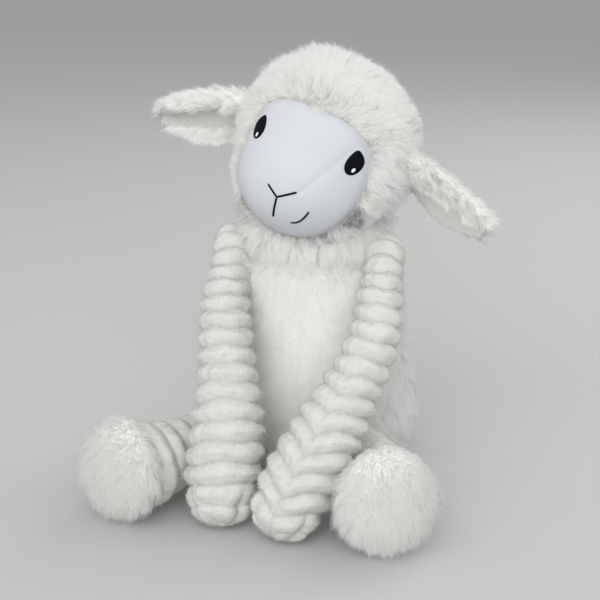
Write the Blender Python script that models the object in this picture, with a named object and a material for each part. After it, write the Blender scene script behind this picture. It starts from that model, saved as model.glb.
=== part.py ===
"""Sitting plush sheep: fur body and head, smooth face, long ears, ribbed arms and legs."""
import math

import bmesh
import bpy
from mathutils import Matrix, Vector

# General sizes, in metres; angles in degrees. The sheep faces -Y and its own left is +X.
GAP = 0.0003
STUFFING_PLAY = 0.0012
FACE_PLAY = 0.0006
FLOOR_CUT = 0.0005
OVERRUN = 0.10

# Body
BODY_HEIGHT = 0.143
BODY_HALF_WIDTH = 0.066
BODY_HALF_DEPTH = 0.054
BODY_COVER = 0.006
BODY_HEIGHT_SHARES = (0.0, 0.035, 0.12, 0.30, 0.55, 0.78, 0.90, 0.975, 1.0)
BODY_WIDTH_SHARES = (0.70, 0.86, 0.97, 1.0, 0.95, 0.86, 0.74, 0.46, 0.20)
PELLET_BAG_RADIUS = 0.032
PELLET_BAG_HEIGHT = 0.024
PELLET_BAG_HEIGHT_SHARES = (0.0, 0.15, 0.45, 0.80, 1.0)
PELLET_BAG_RADIUS_SHARES = (0.80, 0.94, 1.0, 0.80, 0.45)

# Tail
TAIL_HALF_WIDTH = 0.011
TAIL_HALF_LENGTH = 0.019
TAIL_HALF_DEPTH = 0.009
TAIL_HEIGHT = 0.034

# Neck
NECK_RADIUS = 0.022
NECK_RISE = 0.012
NECK_HEIGHT = BODY_HEIGHT + NECK_RISE

# Head
HEAD_SIDE = 0.0092
HEAD_RISE = 0.0525
HEAD_HEIGHT = NECK_HEIGHT + HEAD_RISE
HEAD_ROLL_DEGREES = 17.0
HEAD_YAW_DEGREES = -5.5
HEAD_PITCH_DEGREES = 4.0
HEAD_RADIUS = 0.0495
HEAD_COVER = 0.008
HEAD_BLEND = 0.008
MUZZLE_HALF_WIDTH = 0.042
MUZZLE_HALF_DEPTH = 0.0430
MUZZLE_HALF_HEIGHT = 0.0375
MUZZLE_FORWARD = 0.0215
MUZZLE_DROP = 0.016

# Face panels, seen along the face
FACE_THICKNESS = 0.0022
FACE_HALF_WIDTH = 0.0425
FACE_HALF_HEIGHT = 0.0415
FACE_DROP = 0.0095
FACE_RING_SHARES = (0.16, 0.38, 0.60, 0.80, 1.0)
BRIDGE_TIP_DROP = 0.021
BRIDGE_NOSE_HALF_WIDTH = 0.0105
BRIDGE_NOSE_DROP = 0.0155
BRIDGE_EYE_HALF_WIDTH = 0.0235
BRIDGE_EYE_RISE = 0.006
BRIDGE_BROW_HALF_WIDTH = 0.032
BRIDGE_BROW_RISE = 0.024

# Embroidery, seen along the face
EYE_OUT = 0.0312
EYE_RISE = 0.0074
EYE_HALF_WIDTH = 0.0044
EYE_HALF_HEIGHT = 0.0066
EYE_LEAN_DEGREES = -3.0
EYE_POINT_SHARE = 0.16
EYE_POINT_POWER = 8
PATCH_SHARES = (0.30, 0.70, 1.0)
PATCH_RISE_SHARES = (1.0, 0.85, 0.35)
GLINT_RADIUS = 0.0012
GLINT_DROP = 0.0030
STITCH_RISE = 0.0012
STITCH_WIDTH = 0.0022
STITCH_WIDTH_SHARES = (-0.50, -0.42, -0.18, 0.18, 0.42, 0.50)
STITCH_RISE_SHARES = (0.0, 0.55, 1.0, 1.0, 0.55, 0.0)
NOSE_HALF_WIDTH = 0.0093
NOSE_TOP_DROP = 0.0148
NOSE_DROP = 0.0192
NOSE_STEM_DROP = 0.0329
MOUTH_START_OUT = 0.0075
MOUTH_START_DROP = 0.0345
MOUTH_BEND_OUT = 0.0145
MOUTH_BEND_DROP = 0.0350
MOUTH_END_OUT = 0.0185
MOUTH_END_DROP = 0.0245

# Ears
EAR_LENGTH = 0.057
EAR_HALF_WIDTH = 0.0190
EAR_BACK = 0.0060
EAR_LINING = 0.0020
EAR_PLAY = 0.0009
EAR_CUP = 0.0060
EAR_SAG = 0.0070
EAR_STANDOFF = 0.0025
EAR_RISE_DEGREES = 3.0
LEFT_EAR_DROOP_DEGREES = 10.0
RIGHT_EAR_DROOP_DEGREES = 17.0
EAR_FACING_DEGREES = 30.0
EAR_LENGTH_SHARES = (0.0, 0.12, 0.30, 0.50, 0.68, 0.82, 0.93, 1.0)
EAR_WIDTH_SHARES = (0.82, 0.92, 1.0, 0.98, 0.88, 0.70, 0.46, 0.16)
EAR_CUP_START_SHARE = 0.33
EAR_ROOT_ROWS = 3
EAR_LINING_SHARE = 0.86
EAR_EDGE_SHARE = 0.45

# Arms
ARM_COVER = 0.0028
ARM_ROOT_RADIUS = 0.0135
ARM_RADIUS = 0.0226
ARM_RIB_DEPTH = 0.0024
ARM_RIBS = 14
ARM_LENGTH_SHARES = (0.0, 0.12, 0.24, 0.38, 0.55, 0.68, 0.80, 0.92, 1.0)
ARM_RADIUS_SHARES = (0.48, 0.54, 0.63, 0.75, 0.83, 0.94, 1.0, 1.0, 0.95)
ARM_END_SHARE = 0.72
ARM_PLAIN_SHARE = 2.0
SHOULDER_OUT = 0.0490
SHOULDER_FORWARD = 0.013
SHOULDER_DROP = 0.007
SHOULDER_HEIGHT = BODY_HEIGHT - SHOULDER_DROP
LEFT_ELBOW_OUT = 0.0620
LEFT_ELBOW_FORWARD = 0.084
LEFT_ELBOW_HEIGHT = 0.132
LEFT_HAND_OUT = 0.0235
LEFT_HAND_FORWARD = 0.125
RIGHT_ELBOW_OUT = 0.0290
RIGHT_ELBOW_FORWARD = 0.084
RIGHT_ELBOW_HEIGHT = 0.128
RIGHT_HAND_OUT = 0.0225
RIGHT_HAND_FORWARD = 0.117

# Legs
LEG_COVER = 0.0028
LEG_ROOT_RADIUS = 0.0185
LEG_RADIUS = 0.0208
LEG_RIB_DEPTH = 0.0024
LEG_RIBS = 5
LEG_LENGTH_SHARES = (0.0, 0.30, 0.60, 1.0)
LEG_RADIUS_SHARES = (0.74, 0.90, 1.0, 1.0)
LEG_END_SHARE = 0.20
LEG_PLAIN_SHARE = 1.3
HIP_OUT = 0.044
HIP_FORWARD = 0.044
HIP_HEIGHT = 0.0255
LEG_OUT_DEGREES = 24.6
SOLE_REACH = 0.0902
SOLE_RADIUS = 0.0300
SOLE_HALF_DEPTH = 0.0185
SOLE_BACK = 0.0080

# Facet counts and limits
SHARP_DEGREES = 50.0
SURFACE_ERROR = 0.000003
POLE_SHARE = 0.4
BODY_SIDES = 28
BODY_RINGS = 11
HEAD_SIDES = 26
HEAD_RINGS = 14
LIMB_SIDES = 12
CURVE_STEPS = 60
ROOT_RINGS = 5
END_RINGS = 4
BALL_SIDES = 16
BALL_RINGS = 9
FACE_POINTS = 30
EYE_POINTS = 14
GLINT_POINTS = 8
STITCH_STEPS = 6
EAR_COLUMNS = 7

# The root ball of a limb ends at the first angle from the limb, and is open within the second at its back
ROOT_DEGREES = 60.0
ROOT_OPEN_DEGREES = 20.0
BALL_FLATS_SHARE = 1.0 / (math.cos(math.pi / BALL_SIDES) * math.cos(math.pi / (2 * BALL_RINGS)))
SIDES = {'left': 1, 'right': -1}
EAR_DROOPS = {'left': LEFT_EAR_DROOP_DEGREES, 'right': RIGHT_EAR_DROOP_DEGREES}
ELBOWS = {'left': (LEFT_ELBOW_OUT, LEFT_ELBOW_FORWARD, LEFT_ELBOW_HEIGHT),
          'right': (RIGHT_ELBOW_OUT, RIGHT_ELBOW_FORWARD, RIGHT_ELBOW_HEIGHT)}
HANDS = {'left': (LEFT_HAND_OUT, LEFT_HAND_FORWARD), 'right': (RIGHT_HAND_OUT, RIGHT_HAND_FORWARD)}


# Curves
def steps(count):
    """Even steps from 0 to 1, both ends included."""
    return [index / (count - 1) for index in range(count)]


def turns(count):
    """Even angles round a circle."""
    return [2.0 * math.pi * index / count for index in range(count)]


def smooth_value(places, values, place):
    """Value at a place on a smooth curve through the given points."""
    last = len(places) - 1
    index = 0
    while index < last - 1 and place > places[index + 1]:
        index += 1
    before, after = max(index - 1, 0), min(index + 2, last)
    span = places[index + 1] - places[index]
    share = (place - places[index]) / span
    rise = values[index + 1] - values[index]
    slope_in = (values[index + 1] - values[before]) / (places[index + 1] - places[before]) * span
    slope_out = (values[after] - values[index]) / (places[after] - places[index]) * span
    bend = 3 * rise - 2 * slope_in - slope_out
    twist = slope_in + slope_out - 2 * rise
    return values[index] + share * (slope_in + share * (bend + share * twist))


class BentLine:
    """Curve that leaves its start towards a bend and reaches its end, read by share of length."""

    def __init__(self, start, bend, end):
        self.start, self.bend, self.end = start, bend, end
        self.lengths = [0.0]
        before = start
        for step in steps(CURVE_STEPS)[1:]:
            after = self.at_step(step)
            self.lengths.append(self.lengths[-1] + (after - before).length)
            before = after

    def at_step(self, step):
        """Point at an even step of the curve's own parameter."""
        return self.start * (1 - step) ** 2 + self.bend * (2 * step * (1 - step)) + self.end * step ** 2

    def step_at(self, share):
        """Parameter at a share of the length."""
        wanted = share * self.lengths[-1]
        index = 1
        while index < CURVE_STEPS - 1 and self.lengths[index] < wanted:
            index += 1
        before, after = self.lengths[index - 1], self.lengths[index]
        return (index - 1 + (wanted - before) / (after - before)) / (CURVE_STEPS - 1)

    def point(self, share):
        """Point at a share of the length."""
        return self.at_step(self.step_at(share))

    def direction(self, share):
        """Direction at a share of the length."""
        step = self.step_at(share)
        return ((self.bend - self.start) * (1 - step) + (self.end - self.bend) * step).normalized()


def ring(centre, direction, reference, radius, sides=LIMB_SIDES):
    """Circle of points square to a direction."""
    first = (reference - direction * reference.dot(direction)).normalized()
    second = direction.cross(first)
    return [centre + (first * math.cos(turn) + second * math.sin(turn)) * radius for turn in turns(sides)]


# Meshes
def add_loft(bm, rings):
    """Skin a list of rings with the same number of points, and close both ends."""
    loops = [[bm.verts.new(point) for point in points] for points in rings]
    for lower, upper in zip(loops, loops[1:]):
        for index, corner in enumerate(lower):
            after = (index + 1) % len(lower)
            bm.faces.new((corner, lower[after], upper[after], upper[index]))
    bm.faces.new(list(reversed(loops[0])))
    bm.faces.new(loops[-1])


def finish_mesh(name, bm):
    """Turn a bmesh into an object with its faces pointing out and its round parts smooth."""
    bmesh.ops.recalc_face_normals(bm, faces=bm.faces)
    mesh = bpy.data.meshes.new(name)
    bm.to_mesh(mesh)
    bm.free()
    mesh.shade_smooth()
    mesh.set_sharp_from_angle(angle=math.radians(SHARP_DEGREES))
    piece = bpy.data.objects.new(name, mesh)
    bpy.context.scene.collection.objects.link(piece)
    return piece


def loft_piece(name, *lofts):
    """Piece skinned over one list of rings, or over several that stay apart."""
    bm = bmesh.new()
    for rings in lofts:
        add_loft(bm, rings)
    return finish_mesh(name, bm)


def prism_piece(name, outline, near, far):
    """Outline given across and up, extruded in depth from near to far."""
    return loft_piece(name, [[Vector((across, deep, up)) for across, up in outline] for deep in (near, far)])


def cutter(piece):
    """Mark a piece as a guide that only cuts others."""
    piece.hide_render = True
    piece.display_type = 'WIRE'
    return piece


def cut(piece, tool, operation='DIFFERENCE'):
    """Cut a piece by a guide, or keep only what lies in it."""
    change = piece.modifiers.new(tool.name, 'BOOLEAN')
    change.operation = operation
    change.solver = 'EXACT'
    change.object = tool


def pivot(name, place, parent=None):
    """Empty on a joint's axis, which carries what turns about it."""
    empty = bpy.data.objects.new(name, None)
    empty.empty_display_size = NECK_RADIUS
    bpy.context.scene.collection.objects.link(empty)
    carry(empty, parent, Matrix.Translation(place))
    return empty


def carry(piece, parent, place=None):
    """Hang a piece on a parent, at its place in the world."""
    if parent is not None:
        bpy.context.view_layer.update()
        piece.parent = parent
        piece.matrix_parent_inverse = parent.matrix_world.inverted()
    if place is not None:
        piece.matrix_basis = place
    return piece


# Materials
def finish(name, colour, roughness):
    """Cloth or thread of one colour."""
    material = bpy.data.materials.new(name)
    material.use_nodes = True
    shader = material.node_tree.nodes['Principled BSDF']
    shader.inputs['Base Color'].default_value = (*colour, 1.0)
    shader.inputs['Roughness'].default_value = roughness
    shader.inputs['Metallic'].default_value = 0.0
    return material


def fur_finish(name):
    """Cream-white long-pile fur fabric."""
    return finish(name, (0.86, 0.83, 0.76), 0.95)


def rib_finish(name):
    """Cream wide-ribbed plush."""
    return finish(name, (0.88, 0.84, 0.76), 0.85)


def smooth_finish(name):
    """Cool white short-pile velboa."""
    return finish(name, (0.88, 0.88, 0.90), 0.80)


def thread_finish(name):
    """Near-black embroidery thread."""
    return finish(name, (0.012, 0.013, 0.022), 0.45)


def glint_finish(name):
    """White embroidery thread."""
    return finish(name, (0.85, 0.85, 0.85), 0.45)


def filling_finish(name):
    """White polyester filling."""
    return finish(name, (0.80, 0.80, 0.80), 1.0)


def pellet_finish(name):
    """Cotton bag of pellets."""
    return finish(name, (0.72, 0.70, 0.64), 0.90)


def dress(piece, make_finish):
    """Give a piece its own material."""
    piece.data.materials.append(make_finish(piece.name + '_cloth'))
    return piece


# Places that several pieces share
def shoulder_place(side):
    """Point an arm turns about."""
    return Vector((SIDES[side] * SHOULDER_OUT, -SHOULDER_FORWARD, SHOULDER_HEIGHT))


def hip_place(side):
    """Point a leg turns about."""
    return Vector((SIDES[side] * HIP_OUT, -HIP_FORWARD, HIP_HEIGHT))


def neck_place():
    """Point the head turns and tips about."""
    return Vector((0.0, 0.0, NECK_HEIGHT))


def ball_rings(centre, radius):
    """Rings of a whole ball whose flats, not its corners, lie at the radius."""
    outer = radius * BALL_FLATS_SHARE
    rings = []
    for index in range(BALL_RINGS):
        angle = math.pi * (2 * index + 1) / (2 * BALL_RINGS)
        level = centre - Vector((0.0, 0.0, outer * math.cos(angle)))
        rings.append(ring(level, Vector((0.0, 0.0, 1.0)), Vector((1.0, 0.0, 0.0)),
                          outer * math.sin(angle), BALL_SIDES))
    return rings


def joint_balls(name, play):
    """Guide made of every ball that the head and limbs turn on, grown by a play."""
    places = [(neck_place(), NECK_RADIUS)]
    for side in SIDES:
        places.append((shoulder_place(side), ARM_ROOT_RADIUS))
        places.append((hip_place(side), LEG_ROOT_RADIUS))
    return cutter(loft_piece(name, *[ball_rings(centre, radius + play) for centre, radius in places]))


def floor_slab():
    """Guide that cuts rounded pieces flat where they touch the floor."""
    outline = ((-OVERRUN, -OVERRUN), (OVERRUN, -OVERRUN), (OVERRUN, 0.0), (-OVERRUN, 0.0))
    return cutter(prism_piece('floor_slab', [(2 * across, up) for across, up in outline],
                              -2 * OVERRUN, 2 * OVERRUN))


# Body
def body_ring(share, growth):
    """Ring round the body at a share of its height, grown outwards by a length."""
    width_share = smooth_value(BODY_HEIGHT_SHARES, BODY_WIDTH_SHARES, share)
    height = BODY_HEIGHT * share + growth * (2 * share - 1)
    across = BODY_HALF_WIDTH * width_share + growth
    deep = BODY_HALF_DEPTH * width_share + growth
    return [Vector((across * math.cos(turn), deep * math.sin(turn), height)) for turn in turns(BODY_SIDES)]


def body_rings(growth):
    """Rings of the body from its seat to its neck, closer together at both ends."""
    return [body_ring((1 - math.cos(math.pi * step)) / 2, growth) for step in steps(BODY_RINGS)]


def body_room(root_balls):
    """Guide for the body's outside, less the balls that the limbs turn on."""
    room = cutter(loft_piece('body_room', body_rings(GAP)))
    cut(room, root_balls)
    return room


def body_cover(seats):
    """Fur cover, open where the neck and the limbs' roots seat in it."""
    piece = loft_piece('body_cover', body_rings(-BODY_COVER) + list(reversed(body_rings(0.0))))
    cut(piece, seats)
    return dress(piece, fur_finish)


def pellet_bag_rings(growth, sink):
    """Rings of the bag in the seat, from its flat bottom up."""
    bottom = BODY_COVER + GAP
    rings = []
    for height_share, radius_share in zip(PELLET_BAG_HEIGHT_SHARES, PELLET_BAG_RADIUS_SHARES):
        height = bottom + PELLET_BAG_HEIGHT * height_share + (growth if height_share else -sink)
        rings.append(ring(Vector((0.0, 0.0, height)), Vector((0.0, 0.0, 1.0)), Vector((1.0, 0.0, 0.0)),
                          PELLET_BAG_RADIUS * radius_share + growth, BALL_SIDES))
    return rings


def seat_pellet_bag():
    """Bag of pellets that keeps the sheep sitting."""
    return dress(loft_piece('seat_pellet_bag', pellet_bag_rings(0.0, 0.0)), pellet_finish)


def body_stuffing(seats):
    """Filling of the body, hollowed for the pellet bag and the roots of the limbs."""
    piece = loft_piece('body_stuffing', body_rings(-BODY_COVER - GAP))
    cut(piece, seats)
    cut(piece, cutter(loft_piece('pellet_bag_room', pellet_bag_rings(GAP, BODY_COVER))))
    return dress(piece, filling_finish)


def tail(room):
    """Short tail of fur hanging down the back."""
    centre = Vector((0.0, BODY_HALF_DEPTH, TAIL_HEIGHT))
    rings = []
    for index in range(BALL_RINGS):
        angle = math.pi * (2 * index + 1) / (2 * BALL_RINGS)
        spread = math.sin(angle)
        rings.append([centre + Vector((TAIL_HALF_WIDTH * spread * math.cos(turn),
                                       TAIL_HALF_DEPTH * spread * math.sin(turn),
                                       -TAIL_HALF_LENGTH * math.cos(angle))) for turn in turns(LIMB_SIDES)])
    piece = loft_piece('tail', rings)
    cut(piece, room)
    return dress(piece, fur_finish)


# Neck
def neck_stuffing(parent):
    """Ball of filling that joins head and body and lets the head turn and tip."""
    bm = bmesh.new()
    bmesh.ops.create_uvsphere(bm, u_segments=BALL_SIDES, v_segments=BALL_RINGS, radius=NECK_RADIUS)
    piece = finish_mesh('neck_stuffing', bm)
    return dress(carry(piece, parent, Matrix.Translation(neck_place())), filling_finish)


# Head
def head_place():
    """Place of the head's own frame in the world."""
    return (Matrix.Translation(Vector((HEAD_SIDE, 0.0, HEAD_HEIGHT)))
            @ Matrix.Rotation(math.radians(HEAD_ROLL_DEGREES), 4, 'Y')
            @ Matrix.Rotation(math.radians(HEAD_YAW_DEGREES), 4, 'Z')
            @ Matrix.Rotation(math.radians(HEAD_PITCH_DEGREES), 4, 'X'))


def muzzle_reach(direction):
    """Distance from the head's centre to the muzzle's surface along a direction."""
    halves = (MUZZLE_HALF_WIDTH, MUZZLE_HALF_DEPTH, MUZZLE_HALF_HEIGHT)
    centre = (0.0, -MUZZLE_FORWARD, -MUZZLE_DROP)
    along = Vector([part / half for part, half in zip(direction, halves)])
    start = Vector([-part / half for part, half in zip(centre, halves)])
    square = along.dot(along)
    mixed = along.dot(start)
    inside = mixed ** 2 - square * (start.dot(start) - 1)
    return (math.sqrt(inside) - mixed) / square if inside > 0 else 0.0


def head_reach(direction):
    """Distance from the head's centre to the backing of its cover: a ball that flows into the muzzle."""
    muzzle = muzzle_reach(direction)
    overlap = max(HEAD_BLEND - abs(HEAD_RADIUS - muzzle), 0.0)
    return max(HEAD_RADIUS, muzzle) + overlap ** 2 / (4 * HEAD_BLEND)


def face_point(across, up, lift):
    """Point on the front of the head, seen along the face, raised by a lift."""
    near, far = 0.0, OVERRUN
    while far - near > SURFACE_ERROR:
        deep = (near + far) / 2
        point = Vector((across, -deep, up))
        if point.length < head_reach(point.normalized()) + lift:
            near = deep
        else:
            far = deep
    return Vector((across, -near, up))


def head_rings(lift, count):
    """Rings of the head from its crown to the neck, where they stop short."""
    stop = math.pi - math.asin(NECK_RADIUS / 2 / HEAD_RADIUS)
    rings = []
    for index in range(count):
        angle = stop * (index + POLE_SHARE) / (count - 1 + POLE_SHARE)
        points = []
        for turn in turns(HEAD_SIDES):
            direction = Vector((math.sin(angle) * math.cos(turn), math.sin(angle) * math.sin(turn),
                                math.cos(angle)))
            points.append(direction * (head_reach(direction) + lift))
        rings.append(points)
    return rings


def face_outline(growth, share=1.0):
    """Outline of the face seen along it."""
    return [((FACE_HALF_WIDTH * share + growth) * math.cos(turn),
             (FACE_HALF_HEIGHT * share + growth) * math.sin(turn) - FACE_DROP) for turn in turns(FACE_POINTS)]


def bridge_outline(growth):
    """Outline of the panel between the eyes, which narrows to the nose."""
    half = ((BRIDGE_NOSE_HALF_WIDTH, -BRIDGE_NOSE_DROP), (BRIDGE_EYE_HALF_WIDTH, BRIDGE_EYE_RISE),
            (BRIDGE_BROW_HALF_WIDTH, BRIDGE_BROW_RISE), (BRIDGE_BROW_HALF_WIDTH, OVERRUN))
    right = [(across + growth, up - growth) for across, up in half]
    left = [(-across, up) for across, up in reversed(right)]
    return [(0.0, -BRIDGE_TIP_DROP - growth)] + right + left


def head_cover(parent, seats, ear_rooms):
    """Fur cover of the head, open at the face and the neck, with a groove for each ear's root."""
    rings = head_rings(0.0, HEAD_RINGS) + list(reversed(head_rings(HEAD_COVER, HEAD_RINGS)))
    piece = carry(loft_piece('head_cover', rings), parent, head_place())
    window = cutter(prism_piece('face_window', face_outline(GAP), -GAP, -OVERRUN))
    cut(piece, carry(window, parent, head_place()))
    cut(piece, seats)
    for room in ear_rooms:
        cut(piece, room)
    return dress(piece, fur_finish)


def face_panel(name, parent):
    """The whole face as one skin, before its panels are parted."""
    outer = [[face_point(across, up, FACE_THICKNESS) for across, up in face_outline(0.0, share)]
             for share in FACE_RING_SHARES]
    inner = [[face_point(across, up, 0.0) for across, up in face_outline(0.0, share)]
             for share in FACE_RING_SHARES]
    return carry(loft_piece(name, outer + list(reversed(inner))), parent, head_place())


def bridge_panel(parent):
    """Brow and bridge of the face, down to the nose."""
    piece = face_panel('bridge_panel', parent)
    room = cutter(prism_piece('bridge_room', bridge_outline(-GAP / 2), GAP, -OVERRUN))
    cut(piece, carry(room, parent, head_place()), 'INTERSECT')
    return dress(piece, smooth_finish)


def muzzle_panel(parent):
    """Cheeks, muzzle and chin of the face."""
    piece = face_panel('muzzle_panel', parent)
    room = cutter(prism_piece('bridge_gap', bridge_outline(GAP / 2), GAP, -OVERRUN))
    cut(piece, carry(room, parent, head_place()))
    return dress(piece, smooth_finish)


def head_stuffing(parent, seats):
    """Filling of the head, hollowed for the neck."""
    piece = carry(loft_piece('head_stuffing', head_rings(-STUFFING_PLAY, HEAD_RINGS)), parent, head_place())
    cut(piece, seats)
    return dress(piece, filling_finish)


# Embroidery
def face_patch(name, parent, outline, centre, lift, rise, make_finish):
    """Thin domed patch on the face, from an outline about its centre."""
    rings = []
    for share, rise_share in zip(PATCH_SHARES, PATCH_RISE_SHARES):
        rings.append([face_point(centre[0] + across * share, centre[1] + up * share, lift + rise * rise_share)
                      for across, up in outline])
    for share in (PATCH_SHARES[-1], PATCH_SHARES[0]):
        rings.append([face_point(centre[0] + across * share, centre[1] + up * share, lift)
                      for across, up in outline])
    return dress(carry(loft_piece(name, rings), parent, head_place()), make_finish)


def eye(side, parent):
    """Embroidered eye, drawn up to a soft point at its top, which leans to the sheep's right."""
    lean = math.radians(EYE_LEAN_DEGREES)
    outline = []
    for turn in turns(EYE_POINTS):
        stretch = 1 + EYE_POINT_SHARE * max(math.sin(turn), 0.0) ** EYE_POINT_POWER
        across, up = EYE_HALF_WIDTH * math.cos(turn), EYE_HALF_HEIGHT * math.sin(turn) * stretch
        outline.append((across * math.cos(lean) + up * math.sin(lean),
                        up * math.cos(lean) - across * math.sin(lean)))
    centre = (SIDES[side] * EYE_OUT, EYE_RISE)
    lift = FACE_THICKNESS + FACE_PLAY
    return face_patch('eye_' + side, parent, outline, centre, lift, STITCH_RISE, thread_finish)


def eye_glint(side, parent):
    """White stitch low in the eye."""
    outline = [(GLINT_RADIUS * math.cos(turn), GLINT_RADIUS * math.sin(turn)) for turn in turns(GLINT_POINTS)]
    centre = (SIDES[side] * EYE_OUT, EYE_RISE - GLINT_DROP)
    lift = FACE_THICKNESS + FACE_PLAY + STITCH_RISE + GAP
    return face_patch('eye_glint_' + side, parent, outline, centre, lift, STITCH_RISE / 2, glint_finish)


def stitch_rings(route):
    """Rings of a satin-stitched line laid on the face along a route of places across and up."""
    lift = FACE_THICKNESS + FACE_PLAY
    points = [face_point(across, up, lift) for across, up in route]
    rings = []
    for index, point in enumerate(points):
        before, after = points[max(index - 1, 0)], points[min(index + 1, len(points) - 1)]
        along = (after - before).normalized()
        out = (point - Vector((0.0, -MUZZLE_FORWARD, -MUZZLE_DROP))).normalized()
        across = along.cross(out).normalized()
        rings.append([point + across * STITCH_WIDTH * width_share + out * STITCH_RISE * rise_share
                      for width_share, rise_share in zip(STITCH_WIDTH_SHARES, STITCH_RISE_SHARES)])
    return rings


def straight_route(start, end):
    """Even places from one to another."""
    return [(start[0] + (end[0] - start[0]) * share, start[1] + (end[1] - start[1]) * share)
            for share in steps(STITCH_STEPS)]


def nose_stitch(parent):
    """Embroidered nose: a wide V."""
    tip = (0.0, -NOSE_DROP)
    right = straight_route((-NOSE_HALF_WIDTH, -NOSE_TOP_DROP), tip)
    left = straight_route(tip, (NOSE_HALF_WIDTH, -NOSE_TOP_DROP))
    piece = loft_piece('nose_stitch', stitch_rings(right + left[1:]))
    return dress(carry(piece, parent, head_place()), thread_finish)


def nose_stem_stitch(parent):
    """Embroidered stem below the nose."""
    stem = straight_route((0.0, -NOSE_DROP - STITCH_WIDTH), (0.0, -NOSE_STEM_DROP))
    piece = loft_piece('nose_stem_stitch', stitch_rings(stem))
    return dress(carry(piece, parent, head_place()), thread_finish)


def mouth_stitch(parent):
    """Embroidered smile, on the sheep's left of the nose's stem only."""
    line = BentLine(Vector((MOUTH_START_OUT, -MOUTH_START_DROP)), Vector((MOUTH_BEND_OUT, -MOUTH_BEND_DROP)),
                    Vector((MOUTH_END_OUT, -MOUTH_END_DROP)))
    route = [tuple(line.point(share)) for share in steps(STITCH_STEPS)]
    return dress(carry(loft_piece('mouth_stitch', stitch_rings(route)), parent, head_place()), thread_finish)


# Ears
class EarFrame:
    """Hinge and directions of an ear in the head's frame."""

    def __init__(self, side):
        sign = SIDES[side]
        rise, droop = math.radians(EAR_RISE_DEGREES), math.radians(EAR_DROOPS[side])
        facing = math.radians(EAR_FACING_DEGREES)
        base = Vector((sign * math.cos(rise), 0.0, math.sin(rise)))
        self.hinge = base * (head_reach(base) + HEAD_COVER + EAR_STANDOFF)
        self.along = Vector((sign * math.cos(droop), 0.0, -math.sin(droop)))
        front = Vector((0.0, -math.cos(facing), -math.sin(facing)))
        self.across = self.along.cross(front).normalized() * sign
        self.facing = self.along.cross(self.across).normalized() * -sign
        self.thickness = EAR_BACK + EAR_PLAY + EAR_LINING

    def point(self, share, across_share, level):
        """Point of the ear's leaf at a share of its length and of its width, at a level through it."""
        width = EAR_HALF_WIDTH * smooth_value(EAR_LENGTH_SHARES, EAR_WIDTH_SHARES, max(share, 0.0))
        cup = EAR_CUP * min(max(share, 0.0) / EAR_CUP_START_SHARE, 1) * across_share ** 2
        sag = Vector((0.0, 0.0, -EAR_SAG * max(share, 0.0) ** 2))
        thin = 1 - EAR_EDGE_SHARE * across_share ** 4
        return (self.hinge + self.along * EAR_LENGTH * share + self.across * width * across_share
                + self.facing * (level * thin + cup) + sag)


def leaf_piece(name, frame, rows, width_share):
    """Closed leaf through rows of (share of length, lower level, upper level)."""
    rings = []
    for share, low, high in rows:
        lower = [frame.point(share, width_share * (2 * step - 1), low) for step in steps(EAR_COLUMNS)]
        upper = [frame.point(share, width_share * (1 - 2 * step), high) for step in steps(EAR_COLUMNS)]
        rings.append(lower + upper)
    return loft_piece(name, rings)


def ear_back(side, parent):
    """Fur back of an ear, with the rolled root that turns in the head's groove."""
    frame = EarFrame(side)
    half = frame.thickness / 2
    rows = []
    for index in range(EAR_ROOT_ROWS):
        angle = math.pi / 2 * (index + POLE_SHARE) / EAR_ROOT_ROWS
        rows.append((-half * math.cos(angle) / EAR_LENGTH, -half * math.sin(angle), half * math.sin(angle)))
    front = half - EAR_LINING - EAR_PLAY
    rows.append((0.0, -half, half))
    rows.append((GAP / EAR_LENGTH, -half, front))
    rows += [(share, -half, front) for share in EAR_LENGTH_SHARES[1:]]
    piece = leaf_piece('ear_back_' + side, frame, rows, 1)
    return dress(carry(piece, parent, head_place()), fur_finish)


def ear_lining(side, parent):
    """Smooth lining on the front of an ear."""
    frame = EarFrame(side)
    half = frame.thickness / 2
    first = EAR_LINING / EAR_LENGTH
    shares = [first] + [share * math.sqrt(EAR_LINING_SHARE) for share in EAR_LENGTH_SHARES[1:]]
    rows = [(share, half - EAR_LINING, half) for share in shares]
    piece = leaf_piece('ear_lining_' + side, frame, rows, EAR_LINING_SHARE)
    return dress(carry(piece, parent, head_place()), smooth_finish)


def ear_room(side, parent):
    """Guide for the groove that an ear's root turns in."""
    frame = EarFrame(side)
    half_length = EAR_HALF_WIDTH * EAR_WIDTH_SHARES[0] + GAP
    radius = (frame.thickness / 2 + GAP) / math.cos(math.pi / BALL_SIDES)
    ends = [frame.hinge + frame.across * half_length * end for end in (-1, 1)]
    rings = [ring(end, frame.across, frame.along, radius, BALL_SIDES) for end in ends]
    return carry(cutter(loft_piece('ear_room_' + side, rings)), parent, head_place())


# Limbs
def root_end(radius):
    """Distance from a limb's centre of turning to the last ring of its root ball."""
    return radius * math.cos(math.radians(ROOT_DEGREES))


def root_rings(place, direction, reference, radius, inset):
    """Rings of the ball at a limb's root, from its open back to where the limb begins."""
    rings = []
    front, back = math.radians(ROOT_DEGREES), math.radians(180 - ROOT_OPEN_DEGREES)
    for index in range(ROOT_RINGS):
        angle = back + (front - back) * index / (ROOT_RINGS - 1)
        size = radius - inset
        rings.append(ring(place + direction * size * math.cos(angle), direction, reference,
                          size * math.sin(angle)))
    return rings


def end_rings(centre, direction, reference, radius, depth):
    """Rings of a limb's rounded end."""
    rings = []
    for index in range(END_RINGS):
        angle = math.pi * (index + 1) / (2 * END_RINGS + 1)
        rings.append(ring(centre + direction * depth * math.sin(angle), direction, reference,
                          radius * math.cos(angle)))
    return rings


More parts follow.
